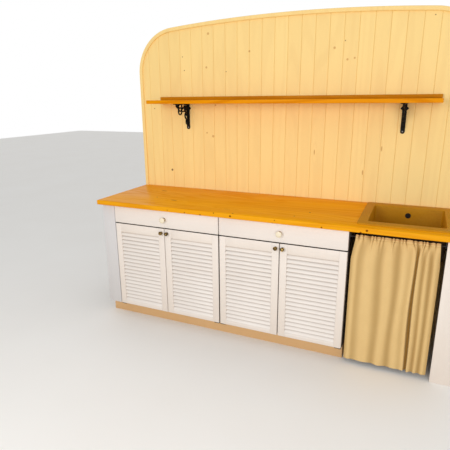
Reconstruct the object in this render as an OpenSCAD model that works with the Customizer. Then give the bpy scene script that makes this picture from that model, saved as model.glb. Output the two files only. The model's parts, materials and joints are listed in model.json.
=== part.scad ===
// Kitchen end wall of a shepherd's hut: a boarded wall with an arched top, a bracketed shelf,
// and a fitted run of cabinets with louvred doors, a sink and a curtained bay.
// Millimetres. +Z is up and the kitchen faces -Y. The origin is the middle of the footprint, at floor level.

/* [Wall] */
// Width of the wall between the side walls
wall_w = 2300; // [2280:10:2800]
// Height of the wall at the crown of the arch
wall_h = 2064; // [1950:2:2500]
// Radius of the shallow arch over the wall
arch_r = 10000; // [4000:100:14000]
// Radius of the tight curves where the arch meets the sides
shoulder_r = 310; // [150:5:350]
// Thickness of the inner boarding
lining_t = 15; // [9:1:24]
// Depth of the timber frame between the boardings
frame_t = 63; // [45:1:100]
// Thickness of the outer boarding
cladding_t = 20; // [15:1:28]
// Width of the posts, studs, sole plate and arched rail
timber_w = 45; // [35:1:75]
// Number of studs between the posts
stud_count = 3; // [1:1:5]
// Width of the bead round the edge of the lining
bead_w = 26; // [10:1:35]
// Thickness of the bead
bead_t = 12; // [6:1:20]

/* [Shelf] */
// Space between the left side wall and the shelf
shelf_left_gap = 181; // [40:1:300]
// Space between the right side wall and the shelf
shelf_right_gap = 205; // [40:1:300]
// Depth of the shelf
shelf_d = 214; // [200:1:260]
// Thickness of the shelf
shelf_t = 24; // [16:1:34]
// Height of the shelf's top
shelf_top = 1528; // [1350:2:1640]
// How far the back rail stands above the shelf
shelf_rail_h = 23; // [10:1:60]
// Thickness of the back rail
shelf_rail_t = 20; // [12:1:28]
// Distance from the wall's middle to each shelf bracket
bracket_x = 745; // [400:5:850]
// Length of a bracket's arm under the shelf
bracket_arm = 195; // [190:1:198]
// Length of a bracket's leg down the wall
bracket_leg = 186; // [170:1:240]
// Width of a bracket's leg
bracket_w = 25; // [16:1:40]
// Width of the arm under the shelf
bracket_arm_w = 36; // [20:1:50]
// Thickness of a bracket's straps
bracket_t = 5; // [3:0.5:8]

/* [Worktop and cabinets] */
// Depth of the worktop
worktop_d = 618; // [600:1:760]
// Thickness of the worktop
worktop_t = 30; // [20:1:40]
// Height of the worktop's top
worktop_top = 870; // [840:2:1050]
// How far the worktop overhangs the door fronts
overhang = 56; // [30:1:70]
// Width of one cabinet
cabinet_w = 800; // [650:5:810]
// Width of the strip left of the cabinets
left_strip = 99; // [60:1:115]
// Width of the strip at the right end of the worktop
right_strip = 113; // [60:1:130]
// Thickness of the cabinet boards
board_t = 18; // [15:1:22]
// Thickness of the cabinet backs
back_t = 6; // [3:1:12]
// Width of the rails across the cabinets
rail_d = 80; // [60:5:120]
// Height of the plinth
plinth_h = 86.5; // [60:0.5:150]
// How far the plinth is set back from the door fronts
plinth_setback = 50; // [35:1:80]

/* [Doors] */
// Thickness of the doors and drawer fronts
door_t = 22; // [21:1:27]
// Gap round each door and drawer front
front_gap = 6.5; // [4.5:0.1:8]
// Free space behind the doors
door_back_gap = 6.5; // [6.5:0.1:12]
// Height of the gap between doors and drawers, measured from the floor
split_z = 706.5; // [640:0.5:720]
// Width of a door's stiles
stile_w = 44; // [40:1:70]
// Height of a door's top rail
top_rail_h = 61; // [50:1:80]
// Height of a door's bottom rail
bottom_rail_h = 56; // [50:1:80]
// Number of louvre slats in a door
slat_count = 18; // [10:1:22]
// Width of a slat
slat_w = 31; // [29:1:31]
// Thickness of a slat
slat_t = 5; // [4:0.5:5]
// Lean of a slat from upright
slat_tilt = 33; // [20:1:33]
// Distance of the hinge axis from the door's edge and front
pivot_inset = 6; // [5:0.5:7]
// Radius of a hinge pin
pivot_pin_r = 2.5; // [1.5:0.1:3]
// Radial clearance of a hinge pin in its bore
pivot_clearance = 0.05; // [0.02:0.01:0.1]
// Length of a hinge pin
pivot_pin_len = 12; // [8:0.5:20]
// Thickness of the hinge plates
pivot_plate_t = 2; // [1.5:0.1:2.5]
// Distance of a door knob from the door's free edge
knob_inset = 18.5; // [15:0.5:30]
// Distance of a door knob from the door's top
knob_drop = 30; // [20:1:60]
// Radius of a door knob
knob_r = 13; // [9:0.5:16]
// How far a door knob stands out
knob_len = 25; // [18:1:35]

/* [Drawers] */
// Depth of a drawer box
drawer_d = 450; // [380:5:480]
// Height of a drawer box
drawer_h = 88; // [60:1:92]
// Thickness of a drawer's sides
drawer_side_t = 12; // [9:1:16]
// Thickness of a drawer's bottom
drawer_bottom_t = 6; // [4:1:9]
// Space between a drawer box and the cabinet side
drawer_side_gap = 13; // [8:1:20]
// Height of a drawer runner
runner_h = 12; // [8:0.5:12]
// Sliding clearance over a runner
runner_clearance = 0.3; // [0.2:0.1:1]
// Radius of a drawer knob
drawer_knob_r = 19; // [14:0.5:24]
// How far a drawer knob stands out
drawer_knob_len = 30; // [20:1:38]
// Height of a drawer knob above the drawer front's bottom edge
drawer_knob_z = 57; // [40:1:80]

/* [Sink and curtain] */
// How far the sink's middle is to the right of the bay's middle
sink_shift = 37; // [30:1:44]
// Width of the sink's rim
sink_w = 500; // [440:2:510]
// Depth of the sink's rim, front to back
sink_d = 535; // [500:1:545]
// Thickness of the sink's rim
rim_t = 8; // [4:1:12]
// Space between the sink's rim and the wall
sink_back_gap = 20; // [10:1:30]
// Width of the bowl's opening
bowl_w = 400; // [340:2:404]
// Depth of the bowl's opening, front to back
bowl_d = 411; // [340:1:425]
// Space between the rim's back edge and the bowl
bowl_back = 65; // [50:1:75]
// Height of the bowl, from the rim's top to its floor
bowl_h = 190; // [140:2:210]
// Thickness of the bowl's walls
bowl_t = 8; // [5:1:12]
// Radius of the bowl's upright corners
bowl_corner_r = 15; // [8:1:40]
// Radius of the rim's corners
rim_corner_r = 20; // [8:1:40]
// Gap between the bowl and the edge of its hole in the worktop
bowl_gap = 5; // [3:1:8]
// Radius of the waste hole
waste_r = 45; // [30:1:57]
// Radius of the waste pipe's tail
tail_r = 20; // [16:0.5:25]
// Length of the tail
tail_len = 50; // [30:1:90]
// Radius of the overflow hole
overflow_r = 17; // [10:1:20]
// Height of the overflow hole above the bowl's floor
overflow_z = 137; // [100:1:155]
// Radius of the curtain's rod
rod_r = 4; // [2:0.5:8]
// Height of the rod under the worktop
rod_drop = 42; // [30:1:60]
// Thickness of the curtain over its gathers
curtain_t = 26; // [16:1:30]
// Height of the curtain's hem above the floor
curtain_hem_z = 30; // [5:1:80]

/* [Hidden] */
$fn = 48;
eps = 1;

// Heights and places that follow from the sizes above
wall_t = lining_t + frame_t + cladding_t;
wall_y = (worktop_d - wall_t) / 2;
frame_y = wall_y + lining_t;
left_x = -wall_w / 2;
right_x = wall_w / 2;
shoulder_x = wall_w / 2 - shoulder_r;
arch_z = wall_h - arch_r;
spring_z = arch_z + sqrt(pow(arch_r - shoulder_r, 2) - pow(shoulder_x, 2));
arch_angle = asin(shoulder_x / (arch_r - shoulder_r));
shoulder_steps = 14;
crown_steps = 24;
worktop_y = wall_y - worktop_d;
worktop_z = worktop_top - worktop_t;
face_y = worktop_y + overhang;
carcass_y = face_y + door_t + door_back_gap;
carcass_d = wall_y - carcass_y;
cabinets_x = left_x + left_strip;
bay_x = cabinets_x + 2 * cabinet_w;
bay_right_x = right_x - right_strip;
interior_w = cabinet_w - 2 * board_t;
shelf_x = left_x + shelf_left_gap;
shelf_len = wall_w - shelf_left_gap - shelf_right_gap;
shelf_z = shelf_top - shelf_t;

// Doors and drawer fronts
door_z = plinth_h + front_gap / 2;
door_top = split_z - front_gap / 2;
door_h = door_top - door_z;
door_w = cabinet_w / 2 - front_gap;
drawer_front_z = split_z + front_gap / 2;
drawer_front_h = worktop_z - front_gap - drawer_front_z;
middle_rail_top = split_z - pivot_plate_t / 2;
runner_top = middle_rail_top + runner_h;
drawer_z = runner_top + runner_clearance;
drawer_w = interior_w - 2 * drawer_side_gap;
runner_w = drawer_side_gap + drawer_side_t - 2;
runner_setback = 55;
pivot_reach = 44;
pivot_arm_w = 38;

// Sink and its hole in the worktop
sink_x = (bay_x + bay_right_x) / 2 + sink_shift;
sink_back_y = wall_y - sink_back_gap;
sink_y = sink_back_y - sink_d / 2;
bowl_y = sink_back_y - bowl_back - bowl_d / 2;
bowl_floor_z = worktop_top + rim_t - bowl_h;
gable_x = bay_right_x + board_t;
rod_z = worktop_z - rod_drop;
rod_y = face_y + 11;
hanger_t = 4;
hanger_w = 14;
curtain_side_gap = 12;
curtain_head = 11;

function cabinet_x(cabinet) = cabinets_x + cabinet * cabinet_w;
function is_right(door) = door % 2;
function door_edge_x(door) = cabinet_x(floor(door / 2))
    + (is_right(door) == 1 ? cabinet_w - front_gap / 2 : front_gap / 2);
function side_sign(door) = is_right(door) == 1 ? -1 : 1;

// Points along an arc about (x, z), both ends included
function arc(x, z, r, from, to, steps) =
    [for (i = [0:steps]) let (a = from + (to - from) * i / steps) [x + r * cos(a), z + r * sin(a)]];

// The arched edge of the wall from right to left, moved inwards by a margin
function arch_line(margin) = concat(
    arc(shoulder_x, spring_z, shoulder_r - margin, 0, 90 - arch_angle, shoulder_steps),
    arc(0, arch_z, arch_r - margin, 90 - arch_angle * (1 - 2 / crown_steps),
        90 + arch_angle * (1 - 2 / crown_steps), crown_steps - 2),
    arc(-shoulder_x, spring_z, shoulder_r - margin, 90 + arch_angle, 180, shoulder_steps)
);

function reversed(points) = [for (i = [len(points) - 1:-1:0]) points[i]];

// The corners of a rectangle with rounded corners, centred
function rounded_corners(w, d, r) = concat(
    arc(w / 2 - r, d / 2 - r, r, 0, 90, 3), arc(r - w / 2, d / 2 - r, r, 90, 180, 3),
    arc(r - w / 2, r - d / 2, r, 180, 270, 3), arc(w / 2 - r, r - d / 2, r, 270, 360, 3)
);

// Stands a flat outline upright, from y_back forwards by a thickness
module upright(y_back, thickness) {
    translate([0, y_back, 0]) rotate([90, 0, 0]) linear_extrude(thickness) children();
}

// A board given by its low corner and its size
module board(corner, size) {
    translate(corner) cube(size);
}

// A cylinder lying along X, starting at a point
module rod_along_x(start, r, length) {
    translate(start) rotate([0, 90, 0]) cylinder(r = r, h = length);
}

module wall_outline(margin) {
    polygon(concat([[margin - wall_w / 2, 0], [wall_w / 2 - margin, 0]], arch_line(margin)));
}

module arch_band(outer, inner) {
    polygon(concat(arch_line(outer), reversed(arch_line(inner))));
}

module sole_plate() {
    color("burlywood") board([left_x, frame_y, 0], [wall_w, frame_t, timber_w]);
}

module post(x) {
    color("burlywood") board([x, frame_y, timber_w], [timber_w, frame_t, spring_z - timber_w]);
}

module left_post() {
    post(left_x);
}

module right_post() {
    post(right_x - timber_w);
}

module wall_studs() {
    color("burlywood") upright(frame_y + frame_t, frame_t) intersection() {
        wall_outline(timber_w);
        for (i = [1:stud_count])
            translate([left_x + wall_w * i / (stud_count + 1) - timber_w / 2, timber_w])
                square([timber_w, wall_h]);
    }
}

module arched_rail() {
    color("burlywood") upright(frame_y + frame_t, frame_t) arch_band(0, timber_w);
}

module inner_lining() {
    color("navajowhite") upright(wall_y + lining_t, lining_t) wall_outline(0);
}

module outer_cladding() {
    color("wheat") upright(frame_y + frame_t + cladding_t, cladding_t) wall_outline(0);
}

module arch_bead() {
    color("wheat") upright(wall_y, bead_t) arch_band(0, bead_w);
}

module corner_beads() {
    color("wheat") for (x = [left_x, right_x - bead_w])
        board([x, wall_y - bead_t, worktop_top], [bead_w, bead_t, spring_z - worktop_top]);
}

module shelf() {
    color("orange") board([shelf_x, wall_y - shelf_d, shelf_z], [shelf_len, shelf_d, shelf_t]);
}

module shelf_back_rail() {
    color("darkorange") board([shelf_x, wall_y - shelf_rail_t, shelf_top],
        [shelf_len, shelf_rail_t, shelf_rail_h]);
}

// The ornament of a bracket: rings as [distance from the wall, depth, radius], with bars in the large one
bracket_web_t = 11;
bracket_rings = [[111, 39, 38], [49, 29, 27], [174, 14, 12], [29, 76, 26], [22, 120, 20]];
ring_band = 6;
ray_t = 9;
ray_root = [111, 50];
ray_boss_r = 9;
bracket_rays = [[0, 24], [90, 33], [-90, 33], [135, 42], [-135, 42]];
lozenge_drop = 34;
lozenge_half = 25;
lozenge_tip = 21;
bracket_screws_leg = [lozenge_drop, bracket_leg - bracket_w / 2];
bracket_screws_arm = [60, bracket_arm - 16];
screw_r = 2.5;

module ring_bar(place) {
    translate([-bracket_web_t / 2, -place[0], -place[1]]) rotate([0, 90, 0]) difference() {
        cylinder(r = place[2], h = bracket_web_t);
        translate([0, 0, -eps]) cylinder(r = place[2] - ring_band, h = bracket_web_t + 2 * eps);
    }
}

// A bar inside the large ring, as [turn from straight down, length]
module ray_bar(ray) {
    translate([-ray_t / 2, -ray_root[0], -ray_root[1]]) rotate([ray[0], 0, 0])
        board([0, -ring_band / 2, -ray[1]], [ray_t, ring_band, ray[1]]);
}

// The boss that the bars meet in
module ray_boss() {
    translate([-bracket_web_t / 2, -ray_root[0], -ray_root[1]]) rotate([0, 90, 0])
        cylinder(r = ray_boss_r, h = bracket_web_t);
}

module bracket() {
    difference() {
        union() {
            // Leg down the wall with a round foot and a pointed lozenge
            upright(0, bracket_t) union() {
                translate([-bracket_w / 2, bracket_w / 2 - bracket_leg])
                    square([bracket_w, bracket_leg - bracket_w / 2]);
                translate([0, bracket_w / 2 - bracket_leg]) circle(r = bracket_w / 2 - 0.01);
                polygon([[-lozenge_half, -lozenge_drop], [0, -lozenge_drop - lozenge_half],
                    [lozenge_half, -lozenge_drop], [0, lozenge_tip - lozenge_drop]]);
            }
            // Arm under the shelf
            board([-bracket_arm_w / 2, -bracket_arm, -bracket_t], [bracket_arm_w, bracket_arm, bracket_t]);
            for (place = bracket_rings) ring_bar(place);
            for (ray = bracket_rays) ray_bar(ray);
            ray_boss();
        }
        for (drop = bracket_screws_leg)
            translate([0, eps, -drop]) rotate([90, 0, 0]) cylinder(r = screw_r, h = bracket_t + 2 * eps);
        for (out = bracket_screws_arm)
            translate([0, -out, -bracket_t - eps]) cylinder(r = screw_r, h = bracket_t + 2 * eps);
    }
}

module left_bracket() {
    color("dimgray") translate([-bracket_x, wall_y, shelf_z]) bracket();
}

module right_bracket() {
    color("dimgray") translate([bracket_x, wall_y, shelf_z]) bracket();
}

module worktop() {
    cut_w = bowl_w + 2 * (bowl_t + bowl_gap);
    cut_d = bowl_d + 2 * (bowl_t + bowl_gap);
    color("orange") difference() {
        board([left_x, worktop_y, worktop_z], [wall_w, worktop_d, worktop_t]);
        board([sink_x - cut_w / 2, bowl_y - cut_d / 2, worktop_z - eps], [cut_w, cut_d, worktop_t + 2 * eps]);
    }
}

module sink() {
    color("peru") difference() {
        union() {
            translate([sink_x, sink_y, worktop_top]) linear_extrude(rim_t)
                polygon(rounded_corners(sink_w, sink_d, rim_corner_r));
            translate([sink_x, bowl_y, bowl_floor_z - bowl_t]) linear_extrude(bowl_h + bowl_t - rim_t / 2)
                polygon(rounded_corners(bowl_w + 2 * bowl_t, bowl_d + 2 * bowl_t, bowl_corner_r + bowl_t));
        }
        translate([sink_x, bowl_y, bowl_floor_z]) linear_extrude(bowl_h + eps)
            polygon(rounded_corners(bowl_w, bowl_d, bowl_corner_r));
        translate([sink_x, bowl_y, bowl_floor_z - bowl_t - eps]) cylinder(r = waste_r, h = bowl_t + 2 * eps);
        translate([sink_x, bowl_y + bowl_d / 2 + bowl_t + eps, bowl_floor_z + overflow_z])
            rotate([90, 0, 0]) cylinder(r = overflow_r, h = bowl_t + 2 * eps);
    }
}

waste_lip = 8;
waste_flange_t = 2;
waste_body_h = 38;
waste_nut_h = 12;
waste_wall = 3;
waste_clearance = 0.5;

module sink_waste() {
    body_top = bowl_floor_z + waste_flange_t;
    body_z = bowl_floor_z - waste_body_h;
    color("silver") translate([sink_x, bowl_y, 0]) difference() {
        union() {
            translate([0, 0, bowl_floor_z]) cylinder(r = waste_r + waste_lip, h = waste_flange_t);
            translate([0, 0, body_z]) cylinder(r = waste_r - waste_clearance, h = waste_body_h);
            translate([0, 0, bowl_floor_z - bowl_t - waste_nut_h])
                cylinder(r = waste_r + waste_lip, h = waste_nut_h);
            translate([0, 0, body_z - tail_len]) cylinder(r = tail_r, h = tail_len);
        }
        translate([0, 0, body_z + waste_wall]) cylinder(r = waste_r - waste_wall - waste_clearance,
            h = body_top - body_z);
        translate([0, 0, body_z - tail_len - eps]) cylinder(r = tail_r - waste_wall,
            h = tail_len + waste_wall + 2 * eps);
    }
}

module left_filler() {
    strip_w = left_strip - front_gap / 2;
    color("white") union() {
        board([left_x, face_y, door_z], [strip_w, door_t, worktop_z - door_z]);
        board([cabinets_x - board_t, face_y, door_z],
            [board_t - front_gap / 2, door_t + rail_d, worktop_z - door_z]);
        board([cabinets_x - board_t, carcass_y, door_z], [board_t, rail_d, worktop_z - door_z]);
    }
}

module right_filler() {
    color("white") board([bay_right_x, face_y, 0], [right_strip, door_t, worktop_z]);
}

module right_gable() {
    color("white") board([gable_x, face_y + door_t, 0], [board_t, wall_y - face_y - door_t, worktop_z]);
}

module plinth() {
    color("tan") board([left_x, face_y + plinth_setback, 0], [left_strip + 2 * cabinet_w, board_t, plinth_h]);
}

module plinth_bearers() {
    bearer_y = face_y + plinth_setback + board_t;
    bearer_w = 2 * board_t;
    color("burlywood") for (i = [0:4]) {
        middle_x = cabinets_x + i * cabinet_w / 2;
        inward = i == 0 ? bearer_w / 2 : i == 4 ? -bearer_w / 2 : 0;
        board([middle_x + inward - bearer_w / 2, bearer_y, 0], [bearer_w, wall_y - bearer_y, plinth_h]);
    }
}

module cabinet_sides(cabinet) {
    color("saddlebrown") for (x = [0, cabinet_w - board_t])
        board([cabinet_x(cabinet) + x, carcass_y, plinth_h], [board_t, carcass_d, worktop_z - plinth_h]);
}

module left_cabinet_sides() {
    cabinet_sides(0);
}

module right_cabinet_sides() {
    cabinet_sides(1);
}

module cabinet_bottoms() {
    color("saddlebrown") for (cabinet = [0, 1])
        board([cabinet_x(cabinet) + board_t, carcass_y, plinth_h], [interior_w, carcass_d - back_t, board_t]);
}

module cabinet_backs() {
    color("saddlebrown") for (cabinet = [0, 1])
        board([cabinet_x(cabinet) + board_t, wall_y - back_t, plinth_h],
            [interior_w, back_t, worktop_z - board_t - plinth_h]);
}

module cabinet_rails() {
    color("saddlebrown") for (cabinet = [0, 1]) {
        rail_x = cabinet_x(cabinet) + board_t;
        board([rail_x, carcass_y, worktop_z - board_t], [interior_w, rail_d, board_t]);
        board([rail_x, wall_y - rail_d, worktop_z - board_t], [interior_w, rail_d, board_t]);
        board([rail_x, carcass_y, middle_rail_top - board_t], [interior_w, rail_d, board_t]);
    }
}

module drawer_runners() {
    runner_y = carcass_y + runner_setback;
    color("burlywood") for (cabinet = [0, 1], x = [board_t, cabinet_w - board_t - runner_w])
        board([cabinet_x(cabinet) + x, runner_y, middle_rail_top],
            [runner_w, wall_y - back_t - runner_y, runner_h]);
}

// A flat plate from the hinge axis over the door's edge and back along the cabinet side
module pivot_plate() {
    front = door_t + door_back_gap;
    polygon([[0, 3], [pivot_arm_w, 3], [pivot_arm_w, front + pivot_reach],
        [board_t - front_gap / 2, front + pivot_reach], [board_t - front_gap / 2, front - 0.5],
        [0, front - 0.5]]);
}

module pivot_pair(door) {
    plate_z = [middle_rail_top, plinth_h - pivot_plate_t];
    pin_z = [door_top - pivot_pin_len, plinth_h];
    pin_h = [middle_rail_top - door_top + pivot_pin_len, door_z + pivot_pin_len - plinth_h];
    reach = [pivot_reach, plinth_setback - door_t - door_back_gap - 1];
    for (end = [0, 1])
        translate([door_edge_x(door), face_y, 0]) mirror_if(is_right(door) == 1) {
            translate([0, 0, plate_z[end]]) linear_extrude(pivot_plate_t) intersection() {
                pivot_plate();
                square([pivot_arm_w, door_t + door_back_gap + reach[end]]);
            }
            translate([pivot_inset, pivot_inset, pin_z[end]]) cylinder(r = pivot_pin_r, h = pin_h[end]);
        }
}

module mirror_if(yes) {
    if (yes) mirror([1, 0, 0]) children();
    else children();
}

module door_pivots() {
    color("darkslategray") for (door = [0:3]) pivot_pair(door);
}

// A louvred door in its own frame: hinge edge at X = 0, front at Y = 0, bottom at Z = 0
module louvred_door() {
    field_w = door_w - 2 * stile_w;
    field_h = door_h - top_rail_h - bottom_rail_h;
    pitch = field_h / slat_count;
    slat_end = 6;
    hinge_edge = concat(arc(pivot_inset, pivot_inset, pivot_inset, 180, 270, 6),
        [[door_w, 0], [door_w, door_t], [0, door_t]]);
    bore_h = pivot_pin_len + 1;
    difference() {
        linear_extrude(door_h) polygon(hinge_edge);
        board([stile_w, -eps, bottom_rail_h], [field_w, door_t + 2 * eps, field_h]);
        for (z = [-eps, door_h - bore_h])
            translate([pivot_inset, pivot_inset, z])
                cylinder(r = pivot_pin_r + pivot_clearance, h = bore_h + eps);
    }
    for (i = [0:slat_count - 1])
        translate([door_w / 2, door_t / 2, bottom_rail_h + pitch * (i + 0.5)]) rotate([-slat_tilt, 0, 0])
            cube([field_w + 2 * slat_end, slat_t, slat_w], center = true);
}

module placed_door(door) {
    color("white") translate([door_edge_x(door), face_y, door_z])
        mirror_if(is_right(door) == 1) union() louvred_door();
}

module door_1() {
    placed_door(0);
}

module door_2() {
    placed_door(1);
}

module door_3() {
    placed_door(2);
}

module door_4() {
    placed_door(3);
}

// A turned knob: a base, a neck and a rounded head, standing out along -Y
module turned_knob(r, length) {
    head = r * 0.9;
    rotate([90, 0, 0]) rotate_extrude() polygon(concat(
        [[0, 0], [r * 0.62, 0], [r * 0.62, 2], [r * 0.4, 4], [r * 0.36, length - head]],
        [for (a = [-60:15:90]) [r * cos(a), length - head * 0.55 + head * 0.55 * sin(a)]]
    ));
}

module door_knob(door) {
    knob_x = door_edge_x(door) + side_sign(door) * (door_w - knob_inset);
    color("darkgoldenrod") translate([knob_x, face_y, door_top - knob_drop]) turned_knob(knob_r, knob_len);
}

module door_knob_1() {
    door_knob(0);
}

module door_knob_2() {
    door_knob(1);
}

module door_knob_3() {
    door_knob(2);
}

module door_knob_4() {
    door_knob(3);
}

module drawer_front(cabinet) {
    color("white") board([cabinet_x(cabinet) + front_gap / 2, face_y, drawer_front_z],
        [cabinet_w - front_gap, door_t, drawer_front_h]);
}

module drawer_box(cabinet) {
    inside = [drawer_w - 2 * drawer_side_t, drawer_d - 2 * drawer_side_t, drawer_h];
    color("burlywood") translate([cabinet_x(cabinet) + (cabinet_w - drawer_w) / 2, face_y + door_t, drawer_z])
        difference() {
            cube([drawer_w, drawer_d, drawer_h]);
            translate([drawer_side_t, drawer_side_t, drawer_bottom_t]) cube(inside);
        }
}

module drawer_knob(cabinet) {
    color("floralwhite") translate([cabinet_x(cabinet) + cabinet_w / 2, face_y, drawer_front_z + drawer_knob_z])
        turned_knob(drawer_knob_r, drawer_knob_len);
}

module left_drawer_front() {
    drawer_front(0);
}

module left_drawer_box() {
    drawer_box(0);
}

module left_drawer_knob() {
    drawer_knob(0);
}

module right_drawer_front() {
    drawer_front(1);
}

module right_drawer_box() {
    drawer_box(1);
}

module right_drawer_knob() {
    drawer_knob(1);
}

module curtain_rod() {
    rod_x = bay_x + hanger_t;
    rod_len = bay_right_x - hanger_t - rod_x;
    color("darkslategray") union() {
        rod_along_x([rod_x, rod_y, rod_z], rod_r, rod_len);
        for (x = [rod_x, rod_x + rod_len - hanger_t])
            board([x, rod_y - hanger_w / 2, rod_z - hanger_w / 2],
                [hanger_t, hanger_w, worktop_z - rod_z + hanger_w / 2]);
    }
}

module curtain() {
    curtain_x = bay_x + curtain_side_gap;
    curtain_w = bay_right_x - curtain_side_gap - curtain_x;
    color("moccasin") difference() {
        board([curtain_x, rod_y - curtain_t / 2, curtain_hem_z],
            [curtain_w, curtain_t, rod_z + curtain_head - curtain_hem_z]);
        rod_along_x([curtain_x - eps, rod_y, rod_z], rod_r + 0.5, curtain_w + 2 * eps);
    }
}

sole_plate();
left_post();
right_post();
wall_studs();
arched_rail();
inner_lining();
outer_cladding();
arch_bead();
corner_beads();
shelf();
shelf_back_rail();
left_bracket();
right_bracket();
worktop();
sink();
sink_waste();
left_filler();
right_filler();
right_gable();
plinth();
plinth_bearers();
left_cabinet_sides();
right_cabinet_sides();
cabinet_bottoms();
cabinet_backs();
cabinet_rails();
drawer_runners();
door_pivots();
left_drawer_front();
left_drawer_box();
left_drawer_knob();
right_drawer_front();
right_drawer_box();
right_drawer_knob();
door_1();
door_2();
door_3();
door_4();
door_knob_1();
door_knob_2();
door_knob_3();
door_knob_4();
curtain_rod();
curtain();
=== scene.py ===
import json
import math
import random

import bpy
from mathutils import Matrix, Vector


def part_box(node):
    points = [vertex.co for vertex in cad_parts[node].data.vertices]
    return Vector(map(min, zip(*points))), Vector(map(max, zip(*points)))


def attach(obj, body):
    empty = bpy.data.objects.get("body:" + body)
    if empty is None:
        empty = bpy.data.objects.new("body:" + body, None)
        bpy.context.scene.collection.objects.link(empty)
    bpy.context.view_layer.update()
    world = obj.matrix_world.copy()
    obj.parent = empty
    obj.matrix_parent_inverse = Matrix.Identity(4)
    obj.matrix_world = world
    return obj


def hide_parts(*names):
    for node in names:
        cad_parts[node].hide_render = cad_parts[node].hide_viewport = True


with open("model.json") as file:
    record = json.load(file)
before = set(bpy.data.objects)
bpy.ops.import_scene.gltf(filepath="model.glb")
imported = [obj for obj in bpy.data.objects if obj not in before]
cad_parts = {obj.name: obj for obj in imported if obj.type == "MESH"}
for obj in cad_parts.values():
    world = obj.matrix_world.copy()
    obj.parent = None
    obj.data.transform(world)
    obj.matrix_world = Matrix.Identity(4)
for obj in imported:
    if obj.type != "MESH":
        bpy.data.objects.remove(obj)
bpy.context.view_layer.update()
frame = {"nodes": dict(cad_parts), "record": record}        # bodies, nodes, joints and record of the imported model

root = "wall_and_cabinets"
mm = 0.001
weld = 0.01 * mm


# Working with pieces

def clearSelection():
    for other in list(bpy.context.selected_objects):
        other.select_set(False)


def makeActive(piece):
    clearSelection()
    piece.select_set(True)
    bpy.context.view_layer.objects.active = piece


def settle(piece):
    # place, turn and size go into the mesh
    makeActive(piece)
    bpy.ops.object.transform_apply(location=True, rotation=True, scale=True)
    return piece


def centreOf(low, high):
    return [(a + b) / 2 for a, b in zip(low, high)]


def block(name, low, high, turn=(0, 0, 0)):
    clearSelection()
    size = [b - a for a, b in zip(low, high)]
    bpy.ops.mesh.primitive_cube_add(size=1, location=centreOf(low, high), rotation=turn, scale=size)
    piece = bpy.context.object
    piece.name = name
    return settle(piece)


def useModifier(piece, kind, **settings):
    makeActive(piece)
    modifier = piece.modifiers.new(kind.lower(), kind)
    for key, value in settings.items():
        setattr(modifier, key, value)
    bpy.ops.object.modifier_apply(modifier=modifier.name)
    return piece


def roundEdges(piece, radius, segments=2):
    return useModifier(piece, "BEVEL", width=radius, segments=segments, limit_method="ANGLE",
                       angle_limit=math.radians(40))


def repeat(piece, count, step):
    return useModifier(piece, "ARRAY", count=count, use_relative_offset=False,
                       use_constant_offset=True, constant_offset_displace=step)


def cutWith(piece, cutter, operation="DIFFERENCE"):
    useModifier(piece, "BOOLEAN", operation=operation, object=cutter, solver="EXACT")
    bpy.data.objects.remove(cutter)
    return piece


def editMesh(piece, mode, chosen):
    # goes into edit mode with the faces, edges or vertices picked by chosen
    makeActive(piece)
    bpy.ops.object.mode_set(mode="EDIT")
    bpy.ops.mesh.select_mode(type=mode)
    bpy.ops.mesh.select_all(action="DESELECT")
    bpy.ops.object.mode_set(mode="OBJECT")
    points = piece.data.vertices
    if mode == "FACE":
        for face in piece.data.polygons:
            face.select = chosen(face.center, face.normal)
    if mode == "EDGE":
        for edge in piece.data.edges:
            edge.select = chosen(points[edge.vertices[0]].co, points[edge.vertices[1]].co)
    if mode == "VERT":
        for point in points:
            point.select = chosen(point.co)
    bpy.ops.object.mode_set(mode="EDIT")


def leaveEdit():
    bpy.ops.object.mode_set(mode="OBJECT")


def edgeAt(a, b, axis, place, slack=mm):
    # both ends of the edge a to b lie in one plane across axis
    return abs(a[axis] - place) < slack and abs(b[axis] - place) < slack


def bevelEdges(piece, chosen, width, segments=1):
    editMesh(piece, "EDGE", chosen)
    bpy.ops.mesh.bevel(offset=width, segments=segments)
    leaveEdit()


def joined(name, parts):
    makeActive(parts[0])
    for part in parts:
        part.select_set(True)
    bpy.ops.object.join()
    piece = bpy.context.object
    piece.name = name
    return piece


def copied(piece, name, shift=(0, 0, 0), mirrorAt=None):
    makeActive(piece)
    bpy.ops.object.duplicate(linked=False)
    twin = bpy.context.object
    twin.name = name
    if mirrorAt is not None:
        twin.matrix_world = Matrix.Translation((2 * mirrorAt, 0, 0)) @ Matrix.Scale(-1, 4, (1, 0, 0))
    twin.location = twin.location + Vector(shift)
    settle(twin)
    if mirrorAt is not None:
        bpy.ops.object.mode_set(mode="EDIT")
        bpy.ops.mesh.select_all(action="SELECT")
        bpy.ops.mesh.normals_make_consistent(inside=False)
        leaveEdit()
    return twin


def turned(name, base, axis, profile, sides):
    # lathe work: a disc is drawn out along axis through (radius, distance) steps
    clearSelection()
    direction = Vector(axis)
    facing = direction.to_track_quat("Z", "Y").to_euler()
    bpy.ops.mesh.primitive_circle_add(vertices=sides, radius=profile[0][0], fill_type="NGON",
                                      location=base, rotation=facing)
    piece = bpy.context.object
    piece.name = name
    settle(piece)
    bpy.ops.object.mode_set(mode="EDIT")
    bpy.ops.mesh.select_all(action="SELECT")
    for (radius, distance), (wider, further) in zip(profile, profile[1:]):
        bpy.ops.mesh.extrude_region_move(
            TRANSFORM_OT_translate={"value": direction * (further - distance)})
        ratio = wider / radius
        middle = Vector(base) + direction * further
        bpy.ops.transform.resize(value=[1 + (ratio - 1) * (1 - abs(a)) for a in axis],
                                 center_override=middle)
    bpy.ops.mesh.select_all(action="SELECT")
    bpy.ops.mesh.normals_make_consistent(inside=False)
    leaveEdit()
    return piece


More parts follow.
